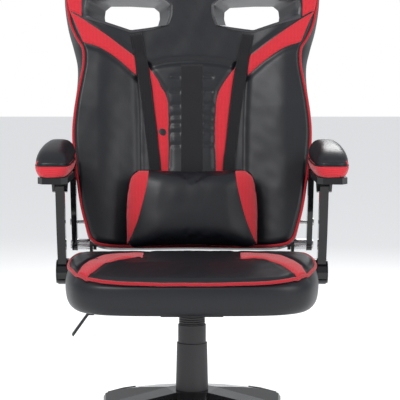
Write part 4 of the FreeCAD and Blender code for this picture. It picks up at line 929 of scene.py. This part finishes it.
def make_pillow_ends():
    """Red mesh ends of the pillow, wrapped onto the filled body."""
    target = bpy.data.objects["pillow_upholstery"]
    bpy.context.view_layer.update()
    for side, sign in SIDES.items():
        inner = spline(PILLOW_SEAM, 60)
        outer = spline([(0.1150, 0.1525), (0.1330, 0.135), (0.1395, 0.095), (0.1415, 0.050), (0.1410, 0.012),
                        (0.1400, -0.006)], 60)
        inner = inner[(inner[:, 1] < 0.152) & (inner[:, 1] > -0.006)]
        inner = spline(inner, 60)
        t = np.linspace(0, 1, 24)[None, :, None]
        flat = inner[:, None] * (1 - t) + outer[:, None] * t
        flat[..., 0] *= sign
        border = np.concatenate([inner, outer[::-1], inner[:1]])
        near = np.clip(distance_to(border, np.abs(flat[..., 0]), flat[..., 1]) / 0.0035, 0, 1)
        lift = 0.0012 * near * (2 - near) - 0.0016 * (1 - near) ** 2
        thick_patch(drape(target, flat, lift), 0.003, BACK_REARWARD).build(
            "pillow_end_" + side, MATERIALS["red_mesh"], "pillow", "red_mesh")


# ------------------------------------------------------------------ arms
def arm_outline(grow, y_front=-0.131, y_rear=0.135):
    """Plan of an arm pad as (across, along): long sides bowed a little, rounded ends."""
    half = 0.0335 + grow
    front, rear = y_front - grow, y_rear + grow
    return [(0, front), (half * 0.55, front + 0.002), (half * 0.86, front + 0.012),
        (half * 0.98, front + 0.034),
            (half, -0.04), (half * 0.97, 0.04), (half * 0.90, rear - 0.030), (half * 0.74, rear - 0.010),
            (half * 0.42, rear - 0.001), (0, rear), (-half * 0.42, rear - 0.001),
            (-half * 0.74, rear - 0.010),
            (-half * 0.90, rear - 0.030), (-half * 0.97, 0.04), (-half, -0.04), (-half * 0.98, front + 0.034),
            (-half * 0.86, front + 0.012), (-half * 0.55, front + 0.002)]


def arm_top(along):
    """Height of the pad's crown: highest near the rear, dropping to the front."""
    return np.interp(along, [-0.135, -0.10, 0.0, 0.09, 0.135], [0.655, 0.662, 0.670, 0.673, 0.668])


def make_arm_cheek(side, sign, middle):
    """Red mesh cheek on the outer side of a pad, tall at its front and tapering rearward."""
    along = np.linspace(-0.118, 0.116, 60)
    half = np.interp(along, [-0.131, -0.119, -0.097, -0.04, 0.04, 0.105, 0.125],
                     [0.0184, 0.0288, 0.0328, 0.0335, 0.0325, 0.0302, 0.0248])
    top = np.interp(along, [-0.118, -0.09, 0.05, 0.116], [0.639, 0.643, 0.641, 0.634])
    height = np.linspace(0, 1, 14)[None, :] * (top - 0.6262)[:, None] + 0.6262
    share = np.linspace(0, 1, 14)[None, :]
    out = (half + 0.0012)[:, None] - 0.0026 * share ** 3 * np.ones_like(height)
    depth = np.stack([middle + sign * out, np.broadcast_to(along[:, None], height.shape), height], axis=-1)
    thick_patch(depth, 0.004, (-sign, 0, 0)).build(
        "arm_cheek_" + side, MATERIALS["red_mesh"], "armrest_" + side[0], "red_mesh")


def make_arm_pads():
    angles = np.linspace(0, 2 * math.pi, 200, endpoint=False)
    for side, sign in SIDES.items():
        low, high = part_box("arm_pad_" + side)
        middle = (low.x + high.x) / 2
        rings = []
        for scale, height in ((0.02, 0.0), (0.25, 0.001), (0.45, 0.003), (0.62, 0.006), (0.76, 0.0105),
                              (0.87, 0.016), (0.945, 0.022), (0.985, 0.028), (1.0, 0.034),
                              (0.998, -0.6335), (0.990, -0.6275),
                              (0.960, -0.6262), (0.02, -0.6262)):
            flat = polar(arm_outline(0.0), angles) * scale
            crown = arm_top(flat[:, 1])
            if height < 0:
                z = np.full(len(flat), -height)
            else:
                z = np.maximum(crown + 0.004 - height, 0.636)
            rings.append(np.stack([middle + sign * flat[:, 0], flat[:, 1], z], axis=1))
        smooth = rings_to_skin(np.array(rings[:-1]), 5)
        piece = Shape().grid(np.concatenate([smooth, np.array(rings[-1:])]), wrap_columns=True,
            caps=True).build(
            "arm_upholstery_" + side, MATERIALS["leather"], "armrest_" + side[0], "leather",
            ["arm_pad_" + side])
        fill_with_air(piece, 2.0, 0.003, 0.004)
        band = [np.stack([middle + sign * polar(arm_outline(g), angles)[:, 0],
                          polar(arm_outline(g), angles)[:, 1], np.full(len(angles), z)], axis=1)
                for g, z in ((-0.016, 0.6062), (-0.0090, 0.6066), (-0.0045, 0.6095), (-0.0010, 0.6160),
                (0.0012, 0.6235),
                             (0.0010, 0.6280), (-0.002, 0.6300), (-0.006, 0.6300))]
        skin = rings_to_skin(np.array(band), 4)
        Shape().grid(skin, wrap_columns=True, caps=True).build(
            "arm_band_" + side, MATERIALS["red_mesh"], "armrest_" + side[0], "red_mesh")
        make_arm_cheek(side, sign, middle)
        seam = np.stack([middle + sign * polar(arm_outline(0.0006), angles)[:, 0],
                         polar(arm_outline(0.0006), angles)[:, 1], np.full(len(angles), 0.6302)], axis=1)
        Shape().grid(tube(seam, 0.0013, sides=8), wrap_rows=True, wrap_columns=True).build(
            "arm_seam_" + side, MATERIALS["leather"], "armrest_" + side[0], "leather")


# ------------------------------------------------------------------ operators
def report(operator, pieces):
    operator.report({"INFO"}, pieces)
    return {"FINISHED"}


class CHAIR_OT_finishes(bpy.types.Operator):
    """Make the materials and give the CAD nodes their finish"""
    bl_idname = "chair.finishes"
    bl_label = "Finishes"

    def execute(self, context):
        make_materials()
        dress_cad_nodes()
        soften_hard_nodes()
        return report(self, "finishes made")


class CHAIR_OT_back(bpy.types.Operator):
    """Build the upholstered back, its rear panel and the head-slot funnels"""
    bl_idname = "chair.back"
    bl_label = "Back"

    def execute(self, context):
        make_back_cushion()
        make_rear_panel()
        make_bezels()
        return report(self, "back built")


class CHAIR_OT_back_trim(bpy.types.Operator):
    """Sew the mesh panels and piping onto the back"""
    bl_idname = "chair.back_trim"
    bl_label = "Back trim"

    def execute(self, context):
        make_back_panels()
        make_back_piping()
        return report(self, "back trimmed")


class CHAIR_OT_seat(bpy.types.Operator):
    """Build the seat cushion with its mesh bands and piping"""
    bl_idname = "chair.seat"
    bl_label = "Seat"

    def execute(self, context):
        make_seat_cushion()
        make_seat_panels()
        return report(self, "seat built")


class CHAIR_OT_straps(bpy.types.Operator):
    """Lay the pillow straps down the back"""
    bl_idname = "chair.straps"
    bl_label = "Straps"

    def execute(self, context):
        make_straps()
        return report(self, "straps laid")


class CHAIR_OT_pillow(bpy.types.Operator):
    """Fill the lumbar pillow and sew on its mesh ends"""
    bl_idname = "chair.pillow"
    bl_label = "Pillow"

    def execute(self, context):
        make_pillow()
        make_pillow_ends()
        return report(self, "pillow filled")


class CHAIR_OT_arms(bpy.types.Operator):
    """Build the arm pads with their mesh bands"""
    bl_idname = "chair.arms"
    bl_label = "Arm pads"

    def execute(self, context):
        make_arm_pads()
        return report(self, "arm pads built")


# ------------------------------------------------------------------ stage
def clear_background(tree):
    """White where the camera looks past the floor, soft grey for everything the light sees."""
    for old in list(tree.nodes):
        tree.nodes.remove(old)
    is_camera = tree.nodes.new("ShaderNodeLightPath").outputs["Is Camera Ray"]
    seen = node(tree, "ShaderNodeBackground", {"Color": (1, 1, 1, 1), "Strength": 1.0})
    lit = node(tree, "ShaderNodeBackground", {"Color": (0.80, 0.82, 0.85, 1), "Strength": 0.70})
    mix = tree.nodes.new("ShaderNodeMixShader")
    tree.links.new(is_camera, mix.inputs["Fac"])
    tree.links.new(lit.outputs[0], mix.inputs[1])
    tree.links.new(seen.outputs[0], mix.inputs[2])
    out = tree.nodes.new("ShaderNodeOutputWorld")
    tree.links.new(mix.outputs[0], out.inputs["Surface"])


def lamp(name, position, target, energy, size):
    """Square area lamp turned to face a point."""
    light = bpy.data.lights.new(name, "AREA")
    light.energy, light.size = energy, size
    piece = bpy.data.objects.new(name, light)
    bpy.context.scene.collection.objects.link(piece)
    piece.location = position
    aim = np.asarray(target, float) - np.asarray(position, float)
    yaw = math.atan2(aim[1], aim[0]) - math.pi / 2
    piece.rotation_euler = (math.pi / 2 + math.atan2(aim[2], math.hypot(aim[0], aim[1])), 0, yaw)
    return piece


def make_floor():
    look = bpy.context.scene.chair_stage
    shader = start_material("studio_floor")[1]
    shader.inputs["Roughness"].default_value = 0.9
    shader.inputs["Specular IOR Level"].default_value = 0.2
    shader.inputs["Base Color"].default_value = (*look.floor, 1)
    shader.inputs["Emission Color"].default_value = (1, 1, 1, 1)
    shader.inputs["Emission Strength"].default_value = 0.18
    plane = np.array([[[-20, -20, -0.0005], [20, -20, -0.0005]], [[-20, 20, -0.0005], [20, 20, -0.0005]]],
        float)
    mesh = bpy.data.meshes.new("studio_floor")
    mesh.from_pydata(plane.reshape(-1, 3).tolist(), [], grid_faces(2, 2).tolist())
    mesh.materials.append(MATERIALS["studio_floor"])
    floor = bpy.data.objects.new("studio_floor", mesh)
    bpy.context.scene.collection.objects.link(floor)


def make_camera():
    look = bpy.context.scene.chair_stage
    lens = bpy.data.cameras.new("studio_camera")
    lens.sensor_width = 36
    lens.lens = look.lens
    lens.shift_x = look.shift
    camera = bpy.data.objects.new("studio_camera", lens)
    camera.location = (0, -look.distance, look.height)
    camera.rotation_euler = (math.radians(90 - look.pitch), 0, 0)
    bpy.context.scene.collection.objects.link(camera)
    bpy.context.scene.camera = camera


class CHAIR_OT_stage(bpy.types.Operator):
    """Set the floor, lamps, background and camera"""
    bl_idname = "chair.stage"
    bl_label = "Stage"

    def execute(self, context):
        scene = context.scene
        scene.view_settings.view_transform = "Standard"
        scene.world = bpy.data.worlds.new("studio")
        scene.world.use_nodes = True
        clear_background(scene.world.node_tree)
        lamp("key", (-1.6, -2.4, 2.7), (0, 0, 0.7), 62, 1.4)
        lamp("fill", (2.3, -2.0, 1.7), (0, 0, 0.6), 30, 1.8)
        lamp("rim", (0.5, 2.4, 2.4), (0, 0, 0.9), 45, 1.4)
        make_floor()
        make_camera()
        return report(self, "stage set")


class CHAIR_PT_panel(bpy.types.Panel):
    """Buttons for each piece of the chair"""
    bl_label = "Reclining gaming chair"
    bl_idname = "CHAIR_PT_panel"
    bl_space_type = "VIEW_3D"
    bl_region_type = "UI"
    bl_category = "Chair"

    def draw(self, context):
        for operator in BUILDERS:
            self.layout.operator(operator.bl_idname)


BUILDERS = (CHAIR_OT_finishes, CHAIR_OT_back, CHAIR_OT_back_trim, CHAIR_OT_seat, CHAIR_OT_straps,
    CHAIR_OT_pillow,
            CHAIR_OT_arms, CHAIR_OT_stage)
CLASSES = (UpholsterySettings, HardwareSettings, StageSettings) + BUILDERS + (CHAIR_PT_panel,)


def register():
    for item in CLASSES:
        bpy.utils.register_class(item)
    bpy.types.Scene.chair_upholstery = PointerProperty(type=UpholsterySettings)
    bpy.types.Scene.chair_hardware = PointerProperty(type=HardwareSettings)
    bpy.types.Scene.chair_stage = PointerProperty(type=StageSettings)


def unregister():
    del bpy.types.Scene.chair_stage
    del bpy.types.Scene.chair_hardware
    del bpy.types.Scene.chair_upholstery
    for item in reversed(CLASSES):
        bpy.utils.unregister_class(item)


def main():
    register()
    bpy.ops.chair.finishes()
    bpy.ops.chair.back()
    bpy.ops.chair.back_trim()
    bpy.ops.chair.seat()
    bpy.ops.chair.straps()
    bpy.ops.chair.pillow()
    bpy.ops.chair.arms()
    bpy.ops.chair.stage()


if __name__ == "__main__":
    main()
